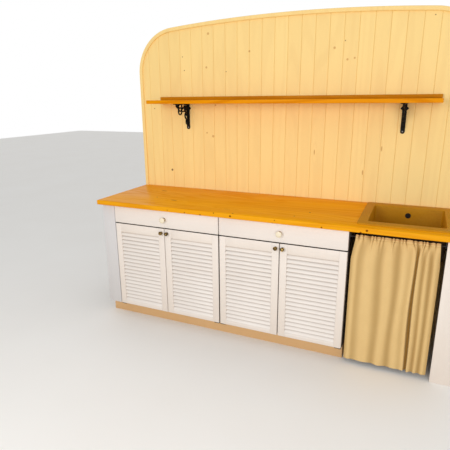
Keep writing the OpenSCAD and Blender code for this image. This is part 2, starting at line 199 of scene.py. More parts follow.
def facedAlong(piece, material, axis=0):
    # the two sides that look along axis take another finish, such as sawn ends with growth rings
    piece.data.materials.append(material)
    for face in piece.data.polygons:
        if abs(face.normal[axis]) > 0.8:
            face.material_index = len(piece.data.materials) - 1
    return piece


def bodyOf(node):
    for body, members in frame["record"]["behaviour"]["bodies"].items():
        if node in members:
            return body
    return root


def finished(piece, body, material, replaced=(), smooth=35):
    makeActive(piece)
    bpy.ops.object.shade_smooth_by_angle(angle=math.radians(smooth))
    piece.data.materials.clear()
    piece.data.materials.append(material)
    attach(piece, body)
    if replaced:
        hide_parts(*replaced)
    return piece


# Materials

# positions of a colour Mix node's sockets, whose names repeat
mixFactor, mixFirst, mixSecond, mixResult = 0, 6, 7, 2
grainTurn = {"x": (0, 0, 0), "y": (0, 0, -math.pi / 2), "z": (0, math.pi / 2, 0)}


def hexColour(text):
    # sRGB hex to linear
    values = [int(text[i:i + 2], 16) / 255 for i in (0, 2, 4)]
    return [v / 12.92 if v <= 0.04045 else ((v + 0.055) / 1.055) ** 2.4 for v in values] + [1]


def addNode(material, kind, inputs=None, **settings):
    # an input is another node's socket, a colour as hex, or a plain value
    node = material.node_tree.nodes.new("ShaderNode" + kind)
    for key, value in settings.items():
        setattr(node, key, value)
    for key, value in (inputs or {}).items():
        if isinstance(value, bpy.types.NodeSocket):
            material.node_tree.links.new(value, node.inputs[key])
        else:
            node.inputs[key].default_value = hexColour(value) if isinstance(value, str) else value
    return node


def newMaterial(name, shader):
    material = bpy.data.materials.new(name)
    material.use_nodes = True
    sockets = material.node_tree.nodes["Principled BSDF"].inputs
    for key, value in shader.items():
        sockets[key].default_value = hexColour(value) if isinstance(value, str) else value
    return material


def connectLook(material, colour, layers, gloss=None, height=None, depth=1 * mm):
    # each layer is a pattern, the colour it lays over the ones below, and the ramp it goes through:
    # where it starts and ends, and how much it covers there
    shader = material.node_tree.nodes["Principled BSDF"]
    for pattern, cover, *ramp in layers:
        if ramp:
            ends = dict(zip(("From Min", "From Max", "To Min", "To Max"), ramp))
            pattern = addNode(material, "MapRange", {"Value": pattern, **ends},
                              interpolation_type="SMOOTHSTEP").outputs[0]
        colour = addNode(material, "Mix", {mixFactor: pattern, mixFirst: colour, mixSecond: cover},
                         data_type="RGBA").outputs[mixResult]
    material.node_tree.links.new(colour, shader.inputs["Base Color"])
    if gloss is not None:
        pattern, least, most = gloss
        spread = addNode(material, "MapRange", {"Value": pattern, "To Min": least, "To Max": most})
        material.node_tree.links.new(spread.outputs[0], shader.inputs["Roughness"])
    if height is not None:
        bump = addNode(material, "Bump", {"Height": height, "Distance": depth, "Strength": 1.0})
        material.node_tree.links.new(bump.outputs["Normal"], shader.inputs["Normal"])
    return material


# patterns of wood: stretch along and across the grain, detail and harshness
woodPatterns = {"growth": ((0.55, 6.0, 6.0), 1.5, 0.4),       # growth lines swing over 170 mm
                "fibres": ((9.0, 420.0, 420.0), 2.0, 0.6),    # fibres drawn 2.4 mm wide so that they show
                "cloud": ((1.4, 7.0, 7.0), 2.0, 0.5)}         # tone that drifts over 140 mm
# a growth line bends round a knot by bend, as far out as bendReach of the knot's own size
knotForm = {"along": 2.4, "core": 0.6, "bend": 0.16, "bendReach": 5, "jump": 7.0}

# for each wood: knots as cells per metre across, share of cells with a knot and its size in a cell;
# lines per swing; depths of growth lines, fibres, cloud and whole boards; light, dark and knot colour
woods = {
    # redwood pine under orange polyurethane varnish: satin, deep orange, the late wood glows darker
    "varnished_pine": {"shader": {"Roughness": 0.4, "IOR": 1.5, "Specular IOR Level": 0.04},
                       "knots": (9.0, 0.12, 0.07), "lines": 15, "depths": (0.42, 0.30, 0.45, 0.30),
                       "colours": ("f6a50a", "d88300", "8a4208"), "gloss": (0.34, 0.48),
                       "bump": 0.12 * mm},
    # softwood matchboarding under cream lacquer: the grain only just shows through
    "cream_lacquered": {"shader": {"Roughness": 0.55, "IOR": 1.45, "Specular IOR Level": 0.35},
                        "knots": (13.0, 0.06, 0.05), "lines": 8, "depths": (0.22, 0.25, 0.32, 0.26),
                        "colours": ("ffe39a", "f3d38c", "c79a56"), "bump": 0.08 * mm},
    # rough sawn spruce framing: dry, pale, with a saw stroke across the grain every 10 mm
    "sawn_spruce": {"shader": {"Roughness": 0.8, "IOR": 1.4},
                    "knots": (8.0, 0.25, 0.10), "lines": 14, "depths": (0.5, 0.35, 0.25, 0.0),
                    "colours": ("dcb888", "b58a55", "6e4420"), "strokes": 32.0, "bump": 0.35 * mm},
    # larch cladding, oiled brown and weathered a little
    "oiled_larch": {"shader": {"Roughness": 0.68, "IOR": 1.45},
                    "knots": (8.0, 0.22, 0.075), "lines": 13, "depths": (0.40, 0.35, 0.35, 0.30),
                    "colours": ("b08a5c", "7d5a38", "4a2f1a"), "bump": 0.30 * mm},
    # planed pine under clear lacquer: smooth and light
    "clear_lacquered_pine": {"shader": {"Roughness": 0.45, "IOR": 1.45},
                             "knots": (8.0, 0.15, 0.07), "lines": 12, "depths": (0.40, 0.30, 0.25, 0.0),
                             "colours": ("ead0a2", "cfa468", "8a5a2a"), "bump": 0.10 * mm}}


def sawnWood(name, kind, grain, across="Y", start=-9.0, width=20.0, colours=None, calm=1.0, marks=()):
    # growth lines, fibres and knots of boards that lie side by side across, each with its own figure;
    # the default width makes one board of the piece, calm below 1 quiets the figure, and marks are
    # colours with the places of single knots and nails
    look = woods[kind]
    light, dark = colours or look["colours"][:2]
    knotsAcross, knotShare, knotSize = look["knots"]
    material = newMaterial(name, look["shader"])
    place = addNode(material, "TexCoord").outputs["Object"]
    number = addNode(material, "SeparateXYZ", {"Vector": place}).outputs[across]
    for operation, value in (("SUBTRACT", start), ("DIVIDE", width), ("FLOOR", 0.0)):
        number = addNode(material, "Math", {0: number, 1: value}, operation=operation).outputs[0]
    chance = addNode(material, "TexWhiteNoise", {"W": number}, noise_dimensions="1D")
    along = addNode(material, "Mapping", {"Vector": place, "Rotation": grainTurn[grain]}).outputs[0]
    jump = addNode(material, "VectorMath", {0: chance.outputs["Color"], "Scale": knotForm["jump"]},
                   operation="SCALE").outputs[0]
    own = addNode(material, "VectorMath", {0: along, 1: jump}, operation="ADD").outputs[0]
    # knots: a few cells of a stretched cell pattern hold one
    knotPlace = addNode(material, "Mapping", {"Vector": own,
                                              "Scale": (knotForm["along"], knotsAcross, knotsAcross)})
    flat = addNode(material, "SeparateXYZ", {"Vector": knotPlace.outputs[0]})
    side = flat.outputs["Z" if grain == "z" or across == "Z" else "Y"]
    knotPlane = addNode(material, "CombineXYZ", {"X": flat.outputs["X"], "Y": side}).outputs[0]
    cells = addNode(material, "TexVoronoi", {"Vector": knotPlane, "Scale": 1.0},
                    voronoi_dimensions="2D", feature="F1")
    cellChance = addNode(material, "SeparateColor", {"Color": cells.outputs["Color"]}).outputs[0]
    chosen = addNode(material, "Math", {0: cellChance, 1: 1 - knotShare * calm},
                     operation="GREATER_THAN").outputs[0]
    knotRamps = []
    for inner, outer, most in ((knotForm["core"], 1.0, 1.0),
                               (0.0, knotForm["bendReach"], knotForm["bend"])):
        ramp = addNode(material, "MapRange",
                       {"Value": cells.outputs["Distance"], "From Min": knotSize * inner,
                        "From Max": knotSize * outer, "To Min": most, "To Max": 0.0},
                       interpolation_type="SMOOTHSTEP").outputs[0]
        knotRamps.append(addNode(material, "Math", {0: ramp, 1: chosen},
                                 operation="MULTIPLY").outputs[0])
    core, bend = knotRamps
    patterns = {}
    for key, (stretch, detail, harshness) in woodPatterns.items():
        stretched = addNode(material, "Mapping", {"Vector": own, "Scale": stretch}).outputs[0]
        patterns[key] = addNode(material, "TexNoise",
                                {"Vector": stretched, "Scale": 1.0, "Detail": detail,
                                 "Roughness": harshness}).outputs[0]
    # growth lines are the contour lines of a stretched noise
    waves = patterns["growth"]
    for operation, value in (("ADD", bend), ("MULTIPLY", look["lines"] * math.tau), ("SINE", 0.0)):
        waves = addNode(material, "Math", {0: waves, 1: value}, operation=operation).outputs[0]
    lines = addNode(material, "MapRange", {"Value": waves, "From Min": -0.3, "From Max": 1.0},
                    interpolation_type="SMOOTHSTEP").outputs[0]
    fibres = patterns["fibres"]
    amount = 0.0
    for pattern, share in zip((lines, fibres, patterns["cloud"], chance.outputs["Value"]),
                              look["depths"]):
        amount = addNode(material, "Math", {0: pattern, 1: share * calm, 2: amount},
                         operation="MULTIPLY_ADD", use_clamp=True).outputs[0]
    height = addNode(material, "Math", {0: fibres, 1: 0.5, 2: lines}, operation="MULTIPLY_ADD").outputs[0]
    height = addNode(material, "Math", {0: height, 1: core}, operation="SUBTRACT").outputs[0]
    if "strokes" in look:
        strokes = addNode(material, "TexWave", {"Vector": along, "Scale": look["strokes"],
                                                "Distortion": 1.5, "Detail": 2.0},
                          wave_type="BANDS", bands_direction="X").outputs["Fac"]
        height = addNode(material, "Math", {0: strokes, 1: 0.7, 2: height},
                         operation="MULTIPLY_ADD").outputs[0]
    layers = [(amount, dark), (core, look["colours"][2])]
    for cover, spots in marks:
        for x, y, z, radius in spots:
            far = addNode(material, "VectorMath", {0: place, 1: (x, y, z)},
                          operation="DISTANCE").outputs["Value"]
            layers.append((far, cover, radius * 0.45, radius, 0.9, 0.0))
    gloss = (lines, *look["gloss"]) if "gloss" in look else None
    return connectLook(material, light, layers, gloss, height, look["bump"])


def pineEndGrain(name, ringY, ringZ):
    # the sawn end of a varnished board drinks the varnish and goes dark, with rings drawn 4 mm apart
    material = newMaterial(name, {"Roughness": 0.5, "IOR": 1.5, "Specular IOR Level": 0.2})
    place = addNode(material, "TexCoord").outputs["Object"]
    centred = addNode(material, "Mapping", {"Vector": place, "Location": (0, -ringY, -ringZ)}).outputs[0]
    rings = addNode(material, "TexWave", {"Vector": centred, "Scale": 78.0, "Distortion": 3.0,
                                          "Detail": 2.0},
                    wave_type="RINGS", rings_direction="X").outputs["Fac"]
    # pores about 1 mm
    pores = addNode(material, "TexNoise", {"Vector": place, "Scale": 900.0, "Detail": 3.0}).outputs[0]
    amount = addNode(material, "Math", {0: rings, 1: pores}, operation="MULTIPLY").outputs[0]
    return connectLook(material, "b8720c", [(amount, "7a4206")], None, pores, 0.15 * mm)


def satinPaint(name, colour, shade, grain, slats=None):
    # satin alkyd on planed pine: brush marks 3 mm wide along the grain, tone that drifts over 110 mm
    material = newMaterial(name, {"Roughness": 0.38, "IOR": 1.5})
    place = addNode(material, "TexCoord").outputs["Object"]
    along = addNode(material, "Mapping", {"Vector": place, "Rotation": grainTurn[grain]}).outputs[0]
    amount = 0.0
    patterns = []
    for stretch, harshness, share in (((6.0, 340.0, 340.0), 0.55, 0.35), ((2.0, 9.0, 9.0), 0.5, 0.55)):
        stretched = addNode(material, "Mapping", {"Vector": along, "Scale": stretch}).outputs[0]
        pattern = addNode(material, "TexNoise", {"Vector": stretched, "Scale": 1.0, "Detail": 3.0,
                                                 "Roughness": harshness}).outputs[0]
        amount = addNode(material, "Math", {0: pattern, 1: share, 2: amount},
                         operation="MULTIPLY_ADD", use_clamp=True).outputs[0]
        patterns.append(pattern)
    marks = patterns[0]
    layers = [(amount, shade)]
    if slats:
        # painted shade: each slat darkens towards its top, where the one above shades it
        start, pitch = slats
        height = addNode(material, "SeparateXYZ", {"Vector": place}).outputs["Z"]
        for operation, value in (("SUBTRACT", start), ("DIVIDE", pitch), ("FRACT", 0.0)):
            height = addNode(material, "Math", {0: height, 1: value}, operation=operation).outputs[0]
        layers.append((height, "8a7866", 0.52, 0.80, 0.0, 0.28))
    return connectLook(material, colour, layers, (marks, 0.32, 0.48), marks, 0.10 * mm)


# finishes with two patterns, fine for the skin and broad for the tone: cells per metre along x, y
# and z, detail and harshness; wear is where the second colour starts and ends, all over if not given
finishes = {
    # chipboard faced in melamine, dark brown as painted shade for the gaps between the fronts: flat, with a fine
    # pearl about 1 mm across
    "brown_faced_board": {"shader": {"Roughness": 0.42, "IOR": 1.5}, "colours": ("3a2b20", "2c2018"),
                          "fine": ((900.0, 900.0, 900.0), 2.0, 0.5), "broad": ((3.0, 3.0, 3.0), 2.0, 0.5),
                          "bump": 0.04 * mm},
    # sand cast iron in black paint: soft skin pitted by sand of 0.9 mm, worn a little brown
    "black_cast_iron": {"shader": {"Roughness": 0.6, "IOR": 1.5, "Specular IOR Level": 0.15},
                        "colours": ("070606", "130d0a"), "fine": ((1100.0, 1100.0, 1100.0), 3.0, 0.6),
                        "broad": ((55.0, 55.0, 55.0), 4.0, 0.65), "wear": (0.52, 0.75),
                        "gloss": (0.46, 0.72), "bump": 0.25 * mm},
    # the outside of moulded composite below the rim, dark as painted shade: coarse, with grit about 3 mm
    "brown_composite_painted_shade": {"shader": {"Roughness": 0.8, "IOR": 1.5, "Specular IOR Level": 0.2},
                             "colours": ("2a1f12", "453421"), "fine": ((330.0, 330.0, 330.0), 4.0, 0.5),
                             "broad": ((12.0, 12.0, 12.0), 4.0, 0.5), "bump": 0.4 * mm},
    # stainless steel: bright, with scratches about 1 mm apart drawn along x
    "stainless_steel": {"shader": {"Metallic": 1.0, "Roughness": 0.22}, "colours": ("cfcecb", "a9a8a4"),
                        "fine": ((60.0, 900.0, 900.0), 3.0, 0.5), "broad": ((40.0, 40.0, 40.0), 3.0, 0.5),
                        "gloss": (0.176, 0.308), "bump": 0.02 * mm},
    # zinc plate gone dull: the same scratches, grey and softer
    "dulled_zinc_plate": {"shader": {"Metallic": 1.0, "Roughness": 0.4}, "colours": ("5f5b58", "a9a8a4"),
                          "fine": ((60.0, 900.0, 900.0), 3.0, 0.5), "broad": ((40.0, 40.0, 40.0), 3.0, 0.5),
                          "gloss": (0.32, 0.56), "bump": 0.02 * mm},
    # steel blackened in hot oil: nearly black, brown in spots of 11 mm where it has rubbed
    "blackened_steel": {"shader": {"Metallic": 0.7, "Roughness": 0.45}, "colours": ("24211e", "4f463b"),
                        "fine": ((90.0, 90.0, 90.0), 4.0, 0.6), "broad": ((90.0, 90.0, 90.0), 4.0, 0.6),
                        "wear": (0.5, 0.75), "gloss": (0.52, 0.34), "bump": 0.05 * mm},
    # brass gone brown with handling, bright in spots of 8 mm where it rubs
    "aged_brass": {"shader": {"Metallic": 0.9, "Roughness": 0.34}, "colours": ("33250f", "b8985a"),
                   "fine": ((130.0, 130.0, 130.0), 4.0, 0.6), "broad": ((130.0, 130.0, 130.0), 4.0, 0.6),
                   "wear": (0.44, 0.64), "gloss": (0.36, 0.18), "bump": 0.08 * mm},
    # ivory china: clear glaze over a faintly uneven body
    "ivory_china": {"shader": {"Roughness": 0.16, "IOR": 1.5, "Coat Weight": 0.6, "Coat Roughness": 0.05},
                    "colours": ("f3eedb", "e9e0c4"), "fine": ((60.0, 60.0, 60.0), 3.0, 0.5),
                    "broad": ((60.0, 60.0, 60.0), 3.0, 0.5), "bump": 0.06 * mm}}


def evenFinish(name):
    look = finishes[name]
    material = newMaterial(name, look["shader"])
    place = addNode(material, "TexCoord").outputs["Object"]
    patterns = []
    for stretch, detail, harshness in (look["fine"], look["broad"]):
        stretched = addNode(material, "Mapping", {"Vector": place, "Scale": stretch}).outputs[0]
        patterns.append(addNode(material, "TexNoise", {"Vector": stretched, "Scale": 1.0, "Detail": detail,
                                                       "Roughness": harshness}).outputs[0])
    fine, broad = patterns
    first, second = look["colours"]
    gloss = (broad, *look["gloss"]) if "gloss" in look else None
    return connectLook(material, first, [(broad, second, *look.get("wear", ()))], gloss, fine, look["bump"])


def mouldedComposite(name):
    # stone grit moulded in brown resin: matt, a fine speckle of grit about 1.5 mm
    material = newMaterial(name, {"Roughness": 0.5, "IOR": 1.5, "Specular IOR Level": 0.14})
    place = addNode(material, "TexCoord").outputs["Object"]
    grit = addNode(material, "TexVoronoi", {"Vector": place, "Scale": 650.0}, feature="F1")
    fleck = addNode(material, "SeparateColor", {"Color": grit.outputs["Color"]}).outputs[0]
    tone = addNode(material, "TexNoise", {"Vector": place, "Scale": 9.0, "Detail": 3.0}).outputs[0]
    layers = [(tone, "a96f02"), (fleck, "e0ad34", 0.55, 1.0, 0.0, 0.35)]
    return connectLook(material, "c68a08", layers, None, grit.outputs["Distance"], 0.10 * mm)


def cottonCloth(name):
    # plain woven cream cotton: matt, slubby, the weave drawn at 1.6 mm so that it shows
    material = newMaterial(name, {"Roughness": 0.85, "IOR": 1.4, "Sheen Weight": 0.25,
                                  "Sheen Roughness": 0.5, "Sheen Tint": "f3e2b8"})
    flat = addNode(material, "UVMap", uv_map="clothFlat").outputs["UV"]
    threads = []
    for direction in ("X", "Y"):
        threads.append(addNode(material, "TexWave", {"Vector": flat, "Scale": 196.0, "Distortion": 0.6,
                                                     "Detail": 1.0},
                               bands_direction=direction, wave_profile="SIN").outputs["Fac"])
    weft, warp = threads
    weave = addNode(material, "Math", {0: weft, 1: warp}, operation="MULTIPLY").outputs[0]
    # slubs 2 mm thick and 25 mm long, and tone that drifts over 140 mm
    amount = 0.0
    patterns = []
    for stretch, share in (((40.0, 500.0, 1.0), 0.5), ((7.0, 7.0, 7.0), 0.45)):
        stretched = addNode(material, "Mapping", {"Vector": flat, "Scale": stretch}).outputs[0]
        pattern = addNode(material, "TexNoise", {"Vector": stretched, "Scale": 1.0,
                                                 "Detail": 3.0}).outputs[0]
        amount = addNode(material, "Math", {0: pattern, 1: share, 2: amount},
                         operation="MULTIPLY_ADD", use_clamp=True).outputs[0]
        patterns.append(pattern)
    height = addNode(material, "Math", {0: patterns[0], 1: 0.6, 2: weave},
                     operation="MULTIPLY_ADD").outputs[0]
    # painted shade: the cloth darkens with the depth of each fold and pinch
    fold = addNode(material, "Attribute", attribute_name="foldDepth").outputs["Fac"]
    layers = [(amount, "d8b77c"), (fold, "866014", -0.55, 0.95, 0.0, 0.92)]
    return connectLook(material, "ebce92", layers, None, height, 0.25 * mm)


# Sizes that the pieces share, taken from the frame
liningLow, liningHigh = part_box("inner_lining")
worktopLow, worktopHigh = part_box("worktop")
shelfLow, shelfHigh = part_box("shelf")
wallFront = liningLow.y
wallHalf = liningHigh.x
wallTop = liningHigh.z

# knots and nails are given as x, z and radius
boarding = {"boardWidth": 0.089, "grooveX": 0.8926, "gap": 0.0004, "chamfer": 0.0024,
            "faintKnots": [(-0.571, 1.970, 0.011), (-0.264, 1.841, 0.009), (-0.589, 1.749, 0.010),
                           (0.303, 1.834, 0.010), (0.386, 1.763, 0.009), (0.429, 1.770, 0.008),
                           (-0.543, 1.270, 0.012), (-0.593, 1.294, 0.008), (-0.521, 1.491, 0.009)],
            "nailHeads": [(-0.779, 1.827, 0.0045), (-0.767, 1.734, 0.0050), (-1.036, 1.467, 0.0050),
                          (-0.436, 1.716, 0.0045), (0.367, 1.873, 0.0045), (0.857, 1.981, 0.0045),
                          (-0.9017, 1.003, 0.0110)]}
cladding = {"boardWidth": 0.115, "grooveX": 0.0, "gap": 0.0012, "chamfer": 0.006}
bead = {"archRadius": 10.0, "shoulderRadius": 0.310, "width": 0.0255, "thickness": 0.0115,
        "round": 0.0048, "roundSteps": 4, "archSteps": 60, "shoulderSteps": 22}
# knots on the worktop's front edge as x, z and radius, and on its top as x, y and radius
worktopPlank = {"width": 0.103,
                "edgeKnots": [(-0.5855, 0.8520, 0.0042), (-0.4596, 0.8475, 0.0052),
                              (-0.3494, 0.8440, 0.0066), (-0.2570, 0.8650, 0.0050),
                              (-0.1468, 0.8562, 0.0084), (0.1316, 0.8589, 0.0042),
                              (0.1182, 0.8427, 0.0040), (0.4031, 0.8480, 0.0058),
                              (0.6121, 0.8420, 0.0070), (0.6436, 0.8562, 0.0086)],
                "topKnots": [(-0.1375, -0.3386, 0.0080), (0.2221, -0.2600, 0.0065),
                             (0.2876, -0.1435, 0.0080), (-0.81, -0.12, 0.0070)]}


def firstBoardEdge(look):
    count = math.ceil((look["grooveX"] + wallHalf) / look["boardWidth"])
    return look["grooveX"] - count * look["boardWidth"]


def onWall(spots):
    return [(x, wallFront, z, radius) for x, z, radius in spots]


print("materials")
boardStart = firstBoardEdge(boarding)
claddingStart = firstBoardEdge(cladding)
worktopKnots = [(x, worktopLow.y, z, radius) for x, z, radius in worktopPlank["edgeKnots"]]
worktopKnots += [(x, y, worktopHigh.z, radius) for x, y, radius in worktopPlank["topKnots"]]
worktopMarks = [("6a2402", worktopKnots)]
wallMarks = [("d3a561", onWall(boarding["faintKnots"])), ("5d3a1c", onWall(boarding["nailHeads"]))]
worktopPine = sawnWood("varnished_pine_worktop", "varnished_pine", "x", "Y", worktopLow.y,
                       worktopPlank["width"], ("fdb600", "e08800"), 0.62, worktopMarks)
# the front edge is a duller copy of the top's colour: painted light, matching how the light falls on the front
worktopFront = sawnWood("varnished_pine_front", "varnished_pine", "x", "Y", worktopLow.y,
                        worktopPlank["width"], ("f3b01e", "d6820c"), 0.62, worktopMarks)
shelfPine = sawnWood("varnished_pine_shelf", "varnished_pine", "x")
# the back rail is a darker, calmer copy of the shelf's varnish: painted shade along the back of the shelf
railPine = sawnWood("varnished_pine_rail", "varnished_pine", "x", colours=("cf8810", "b06c0a"), calm=0.5)
worktopEnd = pineEndGrain("pine_end_grain_worktop", -0.05, 0.79)
shelfEnd = pineEndGrain("pine_end_grain_shelf", 0.15, 1.46)
boardingWood = sawnWood("cream_lacquered_pine", "cream_lacquered", "z", "X", boardStart,
                        boarding["boardWidth"], marks=wallMarks)
beadWood = sawnWood("cream_lacquered_bead", "cream_lacquered", "z", "X")
claddingWood = sawnWood("oiled_larch", "oiled_larch", "z", "X", claddingStart, cladding["boardWidth"])
uprightTimber = sawnWood("sawn_spruce_upright", "sawn_spruce", "z")
levelTimber = sawnWood("sawn_spruce_level", "sawn_spruce", "x")
bearerTimber = sawnWood("sawn_spruce_bearer", "sawn_spruce", "y")
drawerWood = sawnWood("clear_lacquered_pine", "clear_lacquered_pine", "x", "Z")
whiteUpright = satinPaint("white_satin_paint_upright", "efebe7", "e1d9d2", "z")
whiteLevel = satinPaint("white_satin_paint_level", "f1efee", "e4dfdb", "x")
# dark paint for edges that face the narrow gaps: painted shade
shadedEdgePaint = satinPaint("satin_paint_edge_painted_shade", "574b41", "40372f", "x")
# the left strip's white, painted greyer and cooler: painted shade and cool side light
shadedUprightPaint = satinPaint("white_satin_paint_upright_painted_shade", "d9dbdf", "cbcdd2", "z")
beigePaint = satinPaint("beige_satin_paint", "e2bb88", "c8a070", "x")
brownBoard = evenFinish("brown_faced_board")
blackIron = evenFinish("black_cast_iron")
composite = mouldedComposite("brown_composite")
compositeShadedBack = evenFinish("brown_composite_painted_shade")
darkSteel = evenFinish("blackened_steel")
wasteSteel = evenFinish("stainless_steel")
screwSteel = evenFinish("dulled_zinc_plate")
brass = evenFinish("aged_brass")
china = evenFinish("ivory_china")
cotton = cottonCloth("cream_cotton")


# Wall

def boardedSkin(name, node, look, start):
    # one board with chamfered edges, repeated, then cut to the arch by the wall's own outline
    low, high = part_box(node)
    facing = low.y if node == "inner_lining" else high.y
    spare = 10 * mm
    board = block(name, (start + look["gap"] / 2, low.y, low.z - spare),
                  (start + look["boardWidth"] - look["gap"] / 2, high.y, high.z + spare))
    bevelEdges(board, lambda a, b: edgeAt(a, b, 1, facing) and abs(a.x - b.x) < mm, look["chamfer"])
    repeat(board, math.ceil((wallHalf - start) / look["boardWidth"]), (look["boardWidth"], 0, 0))
    outline = copied(frame["nodes"][node], name + "_outline")
    outline.parent = None
    editMesh(outline, "FACE", lambda centre, normal: True)
    bpy.ops.mesh.remove_doubles(threshold=weld)
    bpy.ops.mesh.dissolve_limited(angle_limit=math.radians(1))
    bpy.ops.mesh.select_all(action="SELECT")
    # the outline is thicker than the boards, so that it only cuts their ends
    bpy.ops.transform.resize(value=(1, 3, 1), center_override=(0, (low.y + high.y) / 2, 0))
    leaveEdit()
    return cutWith(board, outline, "INTERSECT")


def wallBead():
    # a rounded bead runs up one side, round the arch and down the other
    arch = bead["archRadius"]
    shoulder = bead["shoulderRadius"]
    shoulderX = wallHalf - shoulder
    archZ = wallTop - arch
    springZ = archZ + math.sqrt((arch - shoulder) ** 2 - shoulderX ** 2)
    archAngle = math.asin(shoulderX / (arch - shoulder))
    side = wallHalf - bead["width"] / 2
    clearSelection()
    bpy.ops.mesh.primitive_plane_add(size=1, rotation=(math.pi, 0, 0),
                                     location=(side, wallFront - bead["thickness"] / 2, worktopHigh.z))
    piece = bpy.context.object
    piece.name = "wall_bead"
    piece.scale = (bead["width"], bead["thickness"], 1)
    settle(piece)
    front = wallFront - bead["thickness"]
    editMesh(piece, "VERT", lambda co: abs(co.y - front) < mm)
    bpy.ops.mesh.bevel(offset=bead["round"], segments=bead["roundSteps"], affect="VERTICES")
    bpy.ops.mesh.select_all(action="SELECT")
    rise = Vector((0, 0, springZ - worktopHigh.z))
    bpy.ops.mesh.extrude_region_move(TRANSFORM_OT_translate={"value": rise})
    shoulderAngle = math.pi / 2 - archAngle
    for middle, angle, steps in (((shoulderX, 0, springZ), shoulderAngle, bead["shoulderSteps"]),
                                 ((0, 0, archZ), 2 * archAngle, bead["archSteps"]),
                                 ((-shoulderX, 0, springZ), shoulderAngle, bead["shoulderSteps"])):
        bpy.ops.mesh.spin(steps=steps, angle=angle, center=middle, axis=(0, 1, 0))
    bpy.ops.mesh.extrude_region_move(TRANSFORM_OT_translate={"value": -rise})
    bpy.ops.mesh.select_all(action="SELECT")
    bpy.ops.mesh.remove_doubles(threshold=weld)
    bpy.ops.mesh.normals_make_consistent(inside=False)
    leaveEdit()
    return finished(piece, root, beadWood, ["arch_bead", "corner_beads"])


print("wall")
lining = boardedSkin("lining_boards", "inner_lining", boarding, boardStart)
finished(lining, root, boardingWood, ["inner_lining"], smooth=20)
outside = boardedSkin("cladding_boards", "outer_cladding", cladding, claddingStart)
finished(outside, root, claddingWood, ["outer_cladding"], smooth=20)
wallBead()


# Shelf

shelf = {"edgeRound": 0.0022, "railRound": 0.0016}
iron = {"ring": 0.0052, "webWidth": 0.011, "webShy": 0.001, "bar": 0.0042,
        "plate": 0.005, "plateWidth": 0.0265, "footRound": 0.98, "legLength": 0.186,
        "armWidth": 0.036, "armLength": 0.195, "armRound": 0.010,
        "lozengeDrop": 0.035, "lozengeHalf": 0.025, "lozengeProud": 0.0015, "lozengeShift": 0.0007,
        # the ribs' ends and how far they stand off the leg and the arm
        "legRib": (0.146, 0.0035), "armRib": (0.184, 0.003),
        # places in the scrollwork are given as distance out from the wall and down from the shelf
        "rings": [(0.120, 0.028, 0.030), (0.122, 0.053, 0.029), (0.166, 0.015, 0.014),
                  (0.032, 0.034, 0.031), (0.028, 0.086, 0.029), (0.018, 0.130, 0.025)],
        "bars": [((0.098, 0.042), (0.042, 0.014)), ((0.095, 0.056), (0.045, 0.055)),
                 ((0.145, 0.034), (0.164, 0.026))],
        "buds": [(0.166, 0.018, 0.0100), (0.034, 0.034, 0.0180), (0.026, 0.080, 0.0110),
                 (0.018, 0.128, 0.0110)],
        "budWidth": 0.6, "stalkWidth": 0.003, "stalkHeight": 0.0022, "stalkReach": 2.6,
        # the casting is one skin, drawn in voxels of this size, with its corners run soft
        "voxel": 0.0011, "soften": 3, "keep": 0.35}
screw = {"head": [(0.0048, 0), (0.0048, 0.0008), (0.0040, 0.0018), (0.0022, 0.0024)],
         "sunk": 0.0005, "armOut": (0.060, 0.179), "armSide": 0.0105}


def shelfBoard():
    piece = roundEdges(block("shelf_board", shelfLow, shelfHigh), shelf["edgeRound"], 3)
    return facedAlong(finished(piece, root, shelfPine, ["shelf"]), shelfEnd)


def shelfRail():
    piece = roundEdges(block("shelf_rail", *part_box("shelf_back_rail")), shelf["railRound"])
    return facedAlong(finished(piece, root, railPine, ["shelf_back_rail"]), shelfEnd)


def ironRing(x, out, down, radius, corner):
    clearSelection()
    bpy.ops.mesh.primitive_torus_add(major_radius=radius - iron["ring"], minor_radius=iron["ring"],
                                     major_segments=40, minor_segments=10,
                                     location=(x, corner.y - out, corner.z - down),
                                     rotation=(0, math.pi / 2, 0))
    ring = bpy.context.object
    ring.scale = (1, 1, iron["webWidth"] / (2 * iron["ring"]))
    return settle(ring)


def ironBar(x, first, second, corner):
    (out, down), (farOut, farDown) = first, second
    length = math.hypot(farOut - out, farDown - down)
    middle = (x, corner.y - (out + farOut) / 2, corner.z - (down + farDown) / 2)
    size = (iron["webWidth"] / 2 - iron["webShy"], iron["bar"], length / 2)
    return block("bar", [a - b for a, b in zip(middle, size)], [a + b for a, b in zip(middle, size)],
                 (math.atan2(farOut - out, down - farDown), 0, 0))


def ironBud(x, out, down, radius, corner):
    # a ball in the middle of a scroll, on a stalk that comes from the wall's side
    clearSelection()
    bpy.ops.mesh.primitive_uv_sphere_add(segments=20, ring_count=12, radius=radius,
                                         location=(x, corner.y - out, corner.z - down),
                                         scale=(iron["budWidth"], 1, 1))
    ball = settle(bpy.context.object)
    wide, tall = iron["stalkWidth"], iron["stalkHeight"]
    stalk = block("stalk", (x - wide, corner.y - out, corner.z - down - tall),
                  (x + wide, corner.y - out + radius * iron["stalkReach"], corner.z - down + tall))
    return [ball, stalk]


